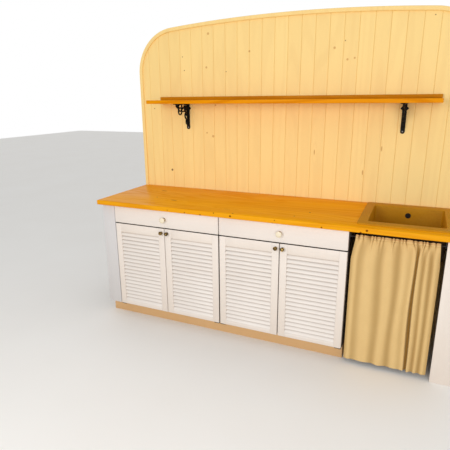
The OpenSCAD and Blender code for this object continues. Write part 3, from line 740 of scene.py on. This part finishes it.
def scrollBracket(name, node):
    low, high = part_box(node)
    x = (low.x + high.x) / 2
    corner = Vector((x, high.y, high.z))
    half = iron["plateWidth"] / 2
    plate = iron["plate"]
    # leg with a round foot, and the arm under the shelf
    leg = block("leg", (x - half, corner.y - plate, corner.z - iron["legLength"]),
                (x + half, corner.y, corner.z))
    bevelEdges(leg, lambda a, b: a.z < low.z + mm and b.z < low.z + mm and abs(a.x - b.x) < mm,
               half * iron["footRound"], 8)
    armHalf = iron["armWidth"] / 2
    arm = block("arm", (x - armHalf, corner.y - iron["armLength"], corner.z - plate),
                (x + armHalf, corner.y, corner.z))
    bevelEdges(arm, lambda a, b: a.y < low.y + mm and b.y < low.y + mm and abs(a.x - b.x) < mm,
               iron["armRound"], 6)
    # pointed lozenge across the leg
    clearSelection()
    bpy.ops.mesh.primitive_cylinder_add(vertices=4, radius=iron["lozengeHalf"],
                                        depth=plate + iron["lozengeProud"],
                                        location=(x, corner.y - plate / 2 - iron["lozengeShift"],
                                                  corner.z - iron["lozengeDrop"]),
                                        rotation=(math.pi / 2, 0, 0))
    parts = [leg, arm, settle(bpy.context.object)]
    # rings, the bars that tie them together, and a rib along the leg and the arm
    parts += [ironRing(x, out, down, radius, corner) for out, down, radius in iron["rings"]]
    parts += [ironBar(x, first, second, corner) for first, second in iron["bars"]]
    shy = iron["webShy"]
    half = iron["webWidth"] / 2 - shy
    drop, proud = iron["legRib"]
    parts.append(block("rib", (x - half, corner.y - plate - proud, corner.z - drop),
                       (x + half, corner.y - plate + shy, corner.z - plate)))
    reach, proud = iron["armRib"]
    parts.append(block("rib", (x - half, corner.y - reach, corner.z - plate - proud),
                       (x + half, corner.y - plate, corner.z - plate + shy)))
    for out, down, radius in iron["buds"]:
        parts += ironBud(x, out, down, radius, corner)
    piece = joined(name, parts)
    useModifier(piece, "REMESH", mode="VOXEL", voxel_size=iron["voxel"], use_smooth_shade=True)
    useModifier(piece, "SMOOTH", factor=0.5, iterations=iron["soften"])
    useModifier(piece, "DECIMATE", ratio=iron["keep"])
    return finished(piece, root, blackIron, [node], smooth=60)


def bracketScrews():
    parts = []
    proud = iron["plate"] - screw["sunk"]
    for node in ("left_bracket", "right_bracket"):
        low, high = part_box(node)
        x = (low.x + high.x) / 2
        for drop in (iron["lozengeDrop"], iron["legLength"] - iron["plateWidth"] / 2):
            parts.append(turned("screw", (x, wallFront - proud, high.z - drop), (0, -1, 0),
                                screw["head"], 16))
        for out in screw["armOut"]:
            parts.append(turned("screw", (x + screw["armSide"], wallFront - out, high.z - proud),
                                (0, 0, -1), screw["head"], 16))
    return finished(joined("bracket_screws", parts), root, screwSteel, smooth=50)


print("shelf")
shelfBoard()
shelfRail()
scrollBracket("scroll_bracket_left", "left_bracket")
scrollBracket("scroll_bracket_right", "right_bracket")
bracketScrews()


# Worktop and sink

# a cut is how far before its place a round cutter starts, and how long it is
top = {"edgeRound": 0.0030, "holeSpare": 0.013, "cutSpare": 0.05}
basin = {"rimCorner": 0.020, "side": 0.050, "front": 0.059, "back": 0.065, "depth": 0.190,
         "taper": 0.965, "bowlRound": 0.016, "floorRound": 0.012, "rimRound": 0.0035,
         "wall": 0.0076, "tubOverlap": 0.004, "wasteRadius": 0.0447, "wasteCut": (0.03, 0.05),
         "overflowRadius": 0.017, "overflowZ": 0.825, "overflowCut": (0.04, 0.08),
         # the cup behind the overflow: where it starts, how much wider than the hole, and how far back
         "cupStart": 0.004,
         "cup": [(-0.0002, 0.003), (-0.0002, 0.016), (0.003, 0.0162), (0.003, 0.020), (-0.009, 0.021)]}
strainer = {"drop": 0.006, "plate": [(0.0405, 0), (0.0405, 0.0012), (0.036, 0.0016), (0.030, 0.0004),
                                     (0.012, 0.0004)],
            "holeRings": [(0.033, 16), (0.023, 10)], "holeRadius": 0.0026, "holeCut": (0.01, 0.02),
            "knob": [(0.004, 0), (0.004, 0.006), (0.0085, 0.008), (0.0085, 0.0095), (0.006, 0.0105)]}


def roundCutter(start, axis, radius, length, sides):
    return turned("hole", start, axis, [(radius, 0), (radius, length)], sides)


def worktopBoard():
    low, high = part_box("sink")
    piece = block("worktop_board", worktopLow, worktopHigh)
    spare, deep = top["holeSpare"], top["cutSpare"]
    hole = block("hole", (low.x + basin["side"] - spare, low.y + basin["front"] - spare,
                          worktopLow.z - deep),
                 (high.x - basin["side"] + spare, high.y - basin["back"] + spare, worktopHigh.z + deep))
    cutWith(piece, hole)
    roundEdges(piece, top["edgeRound"], 3)
    finished(piece, root, worktopPine, ["worktop"])
    return facedAlong(facedAlong(piece, worktopEnd), worktopFront, 1)


def bowlForm(low, high, corner, floorRound):
    # a tapered tub with rounded upright corners and a rounded floor edge
    piece = block("tub", low, high)
    middle = ((low[0] + high[0]) / 2, (low[1] + high[1]) / 2, low[2])
    editMesh(piece, "FACE", lambda centre, normal: normal.z < -0.5)
    bpy.ops.transform.resize(value=(basin["taper"], basin["taper"], 1), center_override=middle)
    leaveEdit()
    bevelEdges(piece, lambda a, b: abs(a.z - b.z) > 100 * mm, corner, 6)
    bevelEdges(piece, lambda a, b: edgeAt(a, b, 2, low[2]), floorRound, 5)
    return piece


def kitchenSink():
    low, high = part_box("sink")
    wall, side = basin["wall"], basin["side"]
    bowlLow = (low.x + side, low.y + basin["front"], high.z - basin["depth"])
    bowlHigh = (high.x - side, high.y - basin["back"], high.z)
    middleX, middleY = centreOf(bowlLow, bowlHigh)[:2]
    piece = block("composite_sink", (low.x, low.y, worktopHigh.z), high)
    bevelEdges(piece, lambda a, b: abs(a.z - b.z) > mm, basin["rimCorner"], 6)
    outside = bowlForm((bowlLow[0] - wall, bowlLow[1] - wall, low.z),
                       (bowlHigh[0] + wall, bowlHigh[1] + wall, worktopHigh.z + basin["tubOverlap"]),
                       basin["bowlRound"] + wall, basin["floorRound"] + wall)
    cutWith(piece, outside, "UNION")
    inside = bowlForm(bowlLow, (bowlHigh[0], bowlHigh[1], bowlHigh[2] + top["cutSpare"]),
                      basin["bowlRound"], basin["floorRound"])
    cutWith(piece, inside)
    # the rim is soft where it turns down into the bowl and at its outer edge
    bevelEdges(piece, lambda a, b: edgeAt(a, b, 2, high.z, 0.1 * mm), basin["rimRound"], 4)
    waste, overflow = basin["wasteRadius"], basin["overflowRadius"]
    before, length = basin["wasteCut"]
    cutWith(piece, roundCutter((middleX, middleY, bowlLow[2] - before), (0, 0, 1), waste, length, 48))
    before, length = basin["overflowCut"]
    cutWith(piece, roundCutter((middleX, bowlHigh[1] - before, basin["overflowZ"]), (0, 1, 0),
                               overflow, length, 40))
    finished(piece, root, composite, ["sink"])
    # what hangs below the rim is dark and rough on its outside: painted shade
    piece.data.materials.append(compositeShadedBack)
    for face in piece.data.polygons:
        x, y, z = face.center
        outwards = (x - middleX) * face.normal.x + (y - middleY) * face.normal.y
        if z < worktopHigh.z - mm and (outwards > 0 or face.normal.z < -0.3):
            face.material_index = 1
    # a dark cup closes the overflow behind the bowl, a painted shade for the hole
    cup = turned("overflow_cup", (middleX, bowlHigh[1] - basin["cupStart"], basin["overflowZ"]),
                 (0, 1, 0), [(overflow + wider, back) for wider, back in basin["cup"]], 40)
    return finished(cup, root, darkSteel)


def wasteStrainer():
    # basket strainer: a dished plate with rings of holes and a knob
    low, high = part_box("sink_waste")
    x, y = centreOf(low, high)[:2]
    z = high.z - strainer["drop"]
    plate = turned("waste_strainer", (x, y, z), (0, 0, 1), strainer["plate"], 40)
    holes = []
    before, length = strainer["holeCut"]
    for ring, count in strainer["holeRings"]:
        for i in range(count):
            a = math.tau * i / count
            start = (x + ring * math.cos(a), y + ring * math.sin(a), z - before)
            holes.append(roundCutter(start, (0, 0, 1), strainer["holeRadius"], length, 10))
    cutWith(plate, joined("holes", holes))
    knob = turned("knob", (x, y, z), (0, 0, 1), strainer["knob"], 24)
    return finished(joined("waste_strainer", [plate, knob]), root, wasteSteel)


print("worktop and sink")
worktopBoard()
kitchenSink()
wasteStrainer()


# Cabinets

joinery = {"edge": 0.0012, "frontEdge": 0.0022, "fillerReturn": 0.018, "hingeRound": 0.006,
           "stile": 0.044, "topRail": 0.061, "bottomRail": 0.0284, "railShy": 0.0004, "moulding": 0.002,
           "slats": 19, "slatWidth": 0.031, "slatThickness": 0.005, "slatLean": 33, "slatEnd": 0.006,
           "slatRound": 0.0011, "meeting": 0.0007}
doorKnob = {"profile": [(0.0090, 0), (0.0090, 0.0016), (0.0062, 0.0030), (0.0050, 0.0060),
                        (0.0052, 0.0090), (0.0078, 0.0112), (0.0112, 0.0136), (0.0128, 0.0166),
                        (0.0129, 0.0190), (0.0117, 0.0216), (0.0092, 0.0232), (0.0085, 0.0229),
                        (0.0060, 0.0240), (0.0030, 0.0248), (0.0008, 0.0250)]}
drawerKnob = {"rose": [(0.0132, 0), (0.0134, 0.0008), (0.0126, 0.0016), (0.0104, 0.0022)],
              "profile": [(0.0100, 0), (0.0100, 0.0015), (0.0098, 0.0030), (0.0085, 0.0050),
                          (0.0075, 0.0090), (0.0095, 0.0130), (0.0150, 0.0165), (0.0182, 0.0205),
                          (0.0189, 0.0240), (0.0172, 0.0272), (0.0120, 0.0292), (0.0060, 0.0299),
                          (0.0010, 0.0300)]}


def paintedBoard(name, node, material, edge):
    piece = roundEdges(block(name, *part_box(node)), edge)
    return finished(piece, bodyOf(node), material, [node])


def leftFiller():
    # a strip in line with the doors, and a return behind it that meets the cabinet
    low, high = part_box("left_filler")
    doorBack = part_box("door_1")[1].y
    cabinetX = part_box("left_cabinet_sides")[0].x
    front = block("front", low, (high.x, doorBack, high.z))
    back = block("back", (cabinetX - joinery["fillerReturn"], doorBack, low.z),
                 (cabinetX, high.y, high.z))
    parts = [roundEdges(front, joinery["edge"]), roundEdges(back, joinery["edge"])]
    # the strip takes the white paint greyed with painted shade
    return finished(joined("filler_left", parts), root, shadedUprightPaint, ["left_filler"])


def louvredLeaf(name, low, high):
    # stiles and rails with a small moulding round the louvres, hinge edge at the left
    shy = joinery["railShy"]
    innerLeft, innerRight = low.x + joinery["stile"], high.x - joinery["stile"]
    fieldLow, fieldHigh = low.z + joinery["bottomRail"], high.z - joinery["topRail"]
    left = block("stile", low, (innerLeft, high.y, high.z))
    bevelEdges(left, lambda a, b: edgeAt(a, b, 0, low.x) and edgeAt(a, b, 1, low.y),
               joinery["hingeRound"], 5)
    right = block("stile", (innerRight, low.y, low.z), high)
    upper = block("rail", (innerLeft, low.y + shy, fieldHigh), (innerRight, high.y - shy, high.z))
    lower = block("rail", (innerLeft, low.y + shy, low.z), (innerRight, high.y - shy, fieldLow))
    # moulding: the long edges next to the louvres are eased more
    for part, axis, place in ((left, 0, innerLeft), (right, 0, innerRight),
                              (upper, 2, fieldHigh), (lower, 2, fieldLow)):
        bevelEdges(part, lambda a, b: edgeAt(a, b, axis, place) and abs(a.y - b.y) < mm
                   and (a - b).length > 100 * mm, joinery["moulding"], 3)
    parts = [roundEdges(part, joinery["edge"]) for part in (left, right, upper, lower)]
    # slats, rounded along their edges
    pitch = (fieldHigh - fieldLow) / joinery["slats"]
    middleY, middleZ = (low.y + high.y) / 2, fieldLow + pitch / 2
    thick, wide, end = joinery["slatThickness"] / 2, joinery["slatWidth"] / 2, joinery["slatEnd"]
    slat = block("slat", (innerLeft - end, middleY - thick, middleZ - wide),
                 (innerRight + end, middleY + thick, middleZ + wide),
                 (-math.radians(joinery["slatLean"]), 0, 0))
    roundEdges(slat, joinery["slatRound"], 3)
    repeat(slat, joinery["slats"], (0, 0, pitch))
    return joined(name, parts + [slat])


def doors():
    low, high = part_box("door_1")
    fieldLow, fieldHigh = low.z + joinery["bottomRail"], high.z - joinery["topRail"]
    # the slats' paint carries painted shade under each slat above
    shadedSlatPaint = satinPaint("white_satin_paint_slats", "efebe7", "e1d9d2", "x",
                           (fieldLow, (fieldHigh - fieldLow) / joinery["slats"]))
    secondLow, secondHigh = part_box("door_2")
    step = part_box("door_3")[0].x - low.x
    leaf = louvredLeaf("louvred_leaf_1", low, high)
    twin = copied(leaf, "louvred_leaf_2", mirrorAt=(low.x + secondHigh.x) / 2)
    third = copied(leaf, "louvred_leaf_3", (step, 0, 0))
    fourth = copied(twin, "louvred_leaf_4", (step, 0, 0))
    # the left pair meets more closely than the right one
    for piece, edge, way in ((leaf, high.x, 1), (twin, secondLow.x, -1)):
        editMesh(piece, "VERT", lambda co: abs(co.x - edge) < 2 * mm)
        bpy.ops.transform.translate(value=(way * joinery["meeting"], 0, 0))
        leaveEdit()
    for number, piece in enumerate((leaf, twin, third, fourth), 1):
        node = f"door_{number}"
        finished(piece, bodyOf(node), whiteUpright, [node])
        piece.data.materials.append(shadedSlatPaint)
        piece.data.materials.append(shadedEdgePaint)
        doorLow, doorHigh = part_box(node)
        reach = (doorHigh.x - doorLow.x) / 2 - joinery["stile"] - 4 * mm
        for face in piece.data.polygons:
            inside = abs(face.center.x - (doorLow.x + doorHigh.x) / 2) < reach
            if inside and fieldLow + mm < face.center.z < fieldHigh - mm:
                face.material_index = 1
            # painted shade: the top edge, and the hinge edge in the middle, are painted dark grey-brown for the
            # shade in the gaps
            if face.normal.z > 0.9 and face.center.z > doorHigh.z - mm:
                face.material_index = 2
            if number == 2 and face.normal.x > 0.9 and face.center.x > doorHigh.x - mm:
                face.material_index = 2


def turnedKnob(name, node, profile, material, replaced):
    low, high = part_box(node)
    base = ((low.x + high.x) / 2, high.y, (low.z + high.z) / 2)
    piece = turned(name, base, (0, -1, 0), profile, 32)
    return finished(piece, bodyOf(node), material, replaced, smooth=50)


print("cabinets")
leftFiller()
for name, node, material, slotName, edge in (
        ("filler_right", "right_filler", whiteUpright, "white_paint", joinery["edge"]),
        ("gable_right", "right_gable", whiteUpright, "white_paint", joinery["edge"]),
        ("plinth_board", "plinth", beigePaint, "beige_paint", joinery["edge"]),
        ("drawer_front_left", "left_drawer_front", whiteLevel, "white_paint", joinery["frontEdge"]),
        ("drawer_front_right", "right_drawer_front", whiteLevel, "white_paint", joinery["frontEdge"])):
    paintedBoard(name, node, material, edge)
doors()
for number in (1, 2, 3, 4):
    node = f"door_knob_{number}"
    turnedKnob(f"brass_knob_{number}", node, doorKnob["profile"], brass, [node])
for side in ("left", "right"):
    node = f"{side}_drawer_knob"
    turnedKnob(f"china_knob_{side}", node, drawerKnob["profile"], china, [node])
    turnedKnob(f"knob_rose_{side}", node, drawerKnob["rose"], brass, [])


# Curtain

drape = {"topLeft": 0.583, "topRight": 1.006, "hemLeft": 0.5635, "hemRight": 1.015, "spreadBy": 0.13,
         "rodDrop": 0.011, "heading": 0.0024, "hemLift": 0.0006,
         "fullness": 1.22, "gathers": 19, "gatherLength": 0.036, "columns": 288, "thickness": 0.0007,
         "rodClearance": 0.0053, "pocket": 0.014, "hem": 0.025, "deepest": 0.0118, "lean": 0.45,
         "peak": 0.0034, "sway": 0.0045, "swelling": 0.28,
         # the gathers: how much they differ in strength and in length, how deep they go, and how
         # strongly they shade the cloth
         "strengths": (0.55, 1.25), "lengths": (0.6, 1.5), "pinchDepth": 0.45, "pinchShade": 0.75,
         # at the rod: how far the cloth stands off the middle, and the heights above and below the
         # rod over which it bulges round it and keeps its folds off it
         "pastRod": (0.0006, 0.0065, 0.0085),
         # depth of the folds in metres: the first try, the least and the most
         "reach": (0.004, 0.0005, 0.012),
         # rows of the hem, of the long part, of the part below the heading and of the pocket
         "rows": (3, 46, 34, 14), "headLength": 0.060,
         # for each fold: its place in the cloth, its place across the opening, and how far it
         # bulges into the room (below 0) or back
         "folds": [(0.0, 0.0, 0.15), (0.050, 0.050, -0.40), (0.100, 0.097, 0.12), (0.225, 0.225, -0.62),
                   (0.342, 0.347, 0.20), (0.435, 0.442, -0.60), (0.525, 0.5375, 0.25),
                   (0.595, 0.6125, -0.50), (0.645, 0.672, -0.05), (0.690, 0.720, -0.52),
                   (0.738, 0.743, 0.80), (0.758, 0.759, 1.0), (0.806, 0.773, -0.75),
                   (0.850, 0.831, 0.35), (0.880, 0.863, -0.40), (0.920, 0.910, 0.38),
                   (0.955, 0.951, -0.35), (1.0, 1.0, 0.2)]}


def foldAt(u):
    # place across the opening and bulge of the cloth's own place u
    for (before, x1, first), (after, x2, second) in zip(drape["folds"], drape["folds"][1:]):
        if u <= after:
            share = (u - before) / (after - before)
            bulge = first + (second - first) * (1 - math.cos(math.pi * share)) / 2
            return x1 + (x2 - x1) * share, bulge
    return 1.0, drape["folds"][-1][2]


def gatheredCurtain():
    low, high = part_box("curtain")
    rodY = (low.y + high.y) / 2
    rodZ = high.z - drape["rodDrop"]
    generator = random.Random(7)
    count = drape["gathers"]
    strengths = [generator.uniform(*drape["strengths"]) for i in range(count + 3)]
    lengths = [drape["gatherLength"] * generator.uniform(*drape["lengths"]) for i in range(count + 3)]
    leans = [drape["lean"] * generator.uniform(-1.0, 1.0) for i in range(count + 3)]
    columns = drape["columns"]
    flatWidth = (drape["topRight"] - drape["topLeft"]) * drape["fullness"]
    us = [i / columns for i in range(columns + 1)]
    heading, bottom = high.z + drape["heading"], low.z + drape["hemLift"]
    broad = [foldAt(u) for u in us]
    # the gathers aren't evenly spaced, and each is pinched sharply between two round pleats
    phases = [1 + count * u + 0.28 * math.sin(math.tau * 3.7 * u)
              + 0.20 * math.sin(math.tau * 8.3 * u + 1) for u in us]
    pinch = [strengths[int(p)] * (1 - 2 * abs(math.sin(math.pi * p)) ** 0.85) for p in phases]
    fade = [lengths[int(p + 0.5)] for p in phases]
    lean = [leans[int(p)] * (1 - p % 1) + leans[int(p) + 1] * (p % 1) for p in phases]

    def rowPoints(z, side):
        # every row keeps the cloth's cut width along its folds
        down = max(0.0, rodZ - z)
        spread = min(1.0, down / drape["spreadBy"])
        left = drape["topLeft"] + (drape["hemLeft"] - drape["topLeft"]) * spread
        right = drape["topRight"] + (drape["hemRight"] - drape["topRight"]) * spread
        shape, across, shadeDepth = [], [], []
        for u, p, length, slant, (x, b) in zip(us, pinch, fade, lean, broad):
            # the gathers fade into the folds, which wander and swell a little on their way down
            share = math.exp(-(down / length) ** 1.4)
            drift = drape["sway"] * math.sin(math.tau * (1.7 * u + 1.3 * down)) * math.sin(math.pi * u)
            swelling = 1 + drape["swelling"] * math.sin(math.tau * (2.3 * u - 1.1 * down) + 1)
            shape.append(drape["pinchDepth"] * share * p + (1 - share) * b * swelling)
            # how deep the cloth lies in a fold or pinch, for the painted shade in its colour
            shadeDepth.append(drape["pinchShade"] * share * p + (1 - share) * b)
            across.append(left + (right - left) * (u * share + x * (1 - share))
                          + slant * share * down + drift * (1 - share))
        reach, least, most = drape["reach"]
        for step in range(30):
            length = sum(math.hypot(d - c, (b - a) * reach)
                         for a, b, c, d in zip(shape, shape[1:], across, across[1:]))
            reach = min(max(reach * (1 + (flatWidth - length) / flatWidth * 1.5), least), most)
        # the cloth passes in front of the rod, or behind it in the pocket
        standOff, bulgeHeight, foldHeight = drape["pastRod"]
        off = (z - rodZ) / bulgeHeight
        swell = max(abs(v) for v in shape) * reach
        nearRod = math.exp(-((z - rodZ) / foldHeight) ** 2)
        shift = standOff + (drape["rodClearance"] * math.exp(-off ** 2) + swell * nearRod)
        # the heading stands up in small peaks above the rod
        peak = drape["peak"] * max(0.0, z - rodZ) / (heading - rodZ)
        deepest = drape["deepest"]
        row = []
        for x, v, p in zip(across, shape, pinch):
            y = side * shift + v * reach
            row.append((x, rodY + min(max(y, -deepest), deepest), z - peak * (1 + p)))
        return row, shadeDepth

    # the cloth turns up at the hem, hangs in front of the rod, and turns over it into a stitched pocket
    hemRows, bodyRows, headRows, pocketRows = drape["rows"]
    headLength, pocket = drape["headLength"], drape["pocket"]
    body = [bottom + (rodZ - headLength - bottom) * (i / bodyRows) for i in range(bodyRows)]
    head = [rodZ - headLength + (heading - rodZ + headLength) * i / headRows for i in range(headRows)]
    path = [(bottom + drape["hem"] * (1 - i / hemRows), 1) for i in range(hemRows)]
    path += [(z, -1) for z in body + head]
    path += [(heading, 0)]
    path += [(heading - (heading - rodZ + pocket) * i / pocketRows, 1) for i in range(1, pocketRows + 1)]
    vertices, flats, faces, depths = [], [], [], []
    run = 0.0
    last = None
    for z, side in path:
        row, shadeDepth = rowPoints(z, side)
        depths += shadeDepth
        if last:
            run += sum(math.dist(a, b) for a, b in zip(row[::8], last[::8])) / len(row[::8])
        vertices += row
        flats += [(u * flatWidth, run) for u in us]
        last = row
    wide = columns + 1
    for r in range(len(path) - 1):
        for c in range(columns):
            a = r * wide + c
            faces.append((a, a + 1, a + wide + 1, a + wide))
    mesh = bpy.data.meshes.new("cotton_curtain")
    mesh.from_pydata(vertices, [], faces)
    mesh.update()
    layerMap = mesh.uv_layers.new(name="clothFlat")
    for loop in mesh.loops:
        layerMap.data[loop.index].uv = flats[loop.vertex_index]
    foldDepth = mesh.attributes.new("foldDepth", "FLOAT", "POINT")
    for place, depth in zip(foldDepth.data, depths):
        place.value = depth
    piece = bpy.data.objects.new("cotton_curtain", mesh)
    bpy.context.scene.collection.objects.link(piece)
    useModifier(piece, "SOLIDIFY", thickness=drape["thickness"], offset=0)
    finished(piece, root, cotton, ["curtain"], smooth=80)
    return piece


print("curtain")
gatheredCurtain()


# CAD pieces that keep their shape

keptNodes = [
    (levelTimber, ["sole_plate", "arched_rail"]),
    (uprightTimber, ["left_post", "right_post", "wall_studs"]),
    (bearerTimber, ["plinth_bearers", "drawer_runners"]),
    # the carcass boards are dark as painted shade for the gaps
    (brownBoard, ["left_cabinet_sides", "right_cabinet_sides", "cabinet_bottoms", "cabinet_backs",
                  "cabinet_rails"]),
    (drawerWood, ["left_drawer_box", "right_drawer_box"]),
    (darkSteel, ["door_pivots", "curtain_rod"]),
    (wasteSteel, ["sink_waste"]),
]
for material, nodes in keptNodes:
    for node in nodes:
        for place in frame["nodes"][node].material_slots:
            place.material = material


# Floor, light and camera

studio = {"ambient": 0.66, "floorSize": 30, "floor": "f4f2ee", "bounce": "d3b996",
          # each lamp: place, the point it faces, power and size
          "key": ((-0.9, -4.1, 1.9), (0.1, 0.2, 1.2), 46.0, 1.8),
          "fill": ((1.6, -3.8, 1.3), (0.2, 0.2, 1.2), 37.0, 2.2)}
eye = {"place": (0.8571, -2.6923, 1.5435), "yaw": 24.256, "pitch": 16.123, "roll": -0.581,
       "lens": 34.972, "sensor": 36, "shiftX": 0.0049, "shiftY": -0.0026}


def directlySeen(material):
    # 1 where a ray shows the surface itself, 0 where the surface only lights something else
    rays = addNode(material, "LightPath")
    seen = rays.outputs["Is Camera Ray"]
    for kind in ("Is Glossy Ray", "Is Transmission Ray"):
        seen = addNode(material, "Math", {0: seen, 1: rays.outputs[kind]},
                       operation="ADD", use_clamp=True).outputs[0]
    return seen


def floorPlane():
    clearSelection()
    bpy.ops.mesh.primitive_plane_add(size=studio["floorSize"], location=(0, 0, 0))
    plane = bpy.context.object
    plane.name = "floor"
    material = newMaterial("pale_floor", {"Roughness": 0.7})
    place = addNode(material, "TexCoord").outputs["Object"]
    tone = addNode(material, "TexNoise", {"Vector": place, "Scale": 1.5, "Detail": 2.0}).outputs[0]
    # the floor looks nearly white, and throws back a softer, warmer light
    connectLook(material, studio["floor"],
                [(tone, "f8f7f4"), (directlySeen(material), studio["bounce"], 0.0, 1.0, 1.0, 0.0)])
    plane.data.materials.append(material)


def softLamp(name, place, target, power, size):
    data = bpy.data.lights.new(name, "AREA")
    data.energy = power
    data.shape = "DISK"
    data.size = size
    lamp = bpy.data.objects.new(name, data)
    bpy.context.scene.collection.objects.link(lamp)
    lamp.location = place
    lamp.rotation_euler = (Vector(target) - Vector(place)).to_track_quat("-Z", "Y").to_euler()


def whiteWorld():
    world = bpy.data.worlds.new("studio")
    bpy.context.scene.world = world
    world.use_nodes = True
    background = world.node_tree.nodes["Background"]
    background.inputs["Color"].default_value = (1, 1, 1, 1)
    strength = addNode(world, "MapRange", {"Value": directlySeen(world), "To Min": studio["ambient"],
                                           "To Max": 1.0}).outputs[0]
    world.node_tree.links.new(strength, background.inputs["Strength"])


def photoCamera():
    data = bpy.data.cameras.new("camera")
    data.lens = eye["lens"]
    data.sensor_width = eye["sensor"]
    data.shift_x = eye["shiftX"]
    data.shift_y = eye["shiftY"]
    camera = bpy.data.objects.new("camera", data)
    bpy.context.scene.collection.objects.link(camera)
    turn = (Matrix.Rotation(math.radians(eye["yaw"]), 4, "Z")
            @ Matrix.Rotation(math.radians(90 - eye["pitch"]), 4, "X")
            @ Matrix.Rotation(math.radians(eye["roll"]), 4, "Z"))
    camera.matrix_world = Matrix.Translation(eye["place"]) @ turn
    bpy.context.scene.camera = camera


print("stage")
floorPlane()
softLamp("key", *studio["key"])
softLamp("fill", *studio["fill"])
whiteWorld()
photoCamera()
bpy.context.scene.view_settings.view_transform = "Standard"
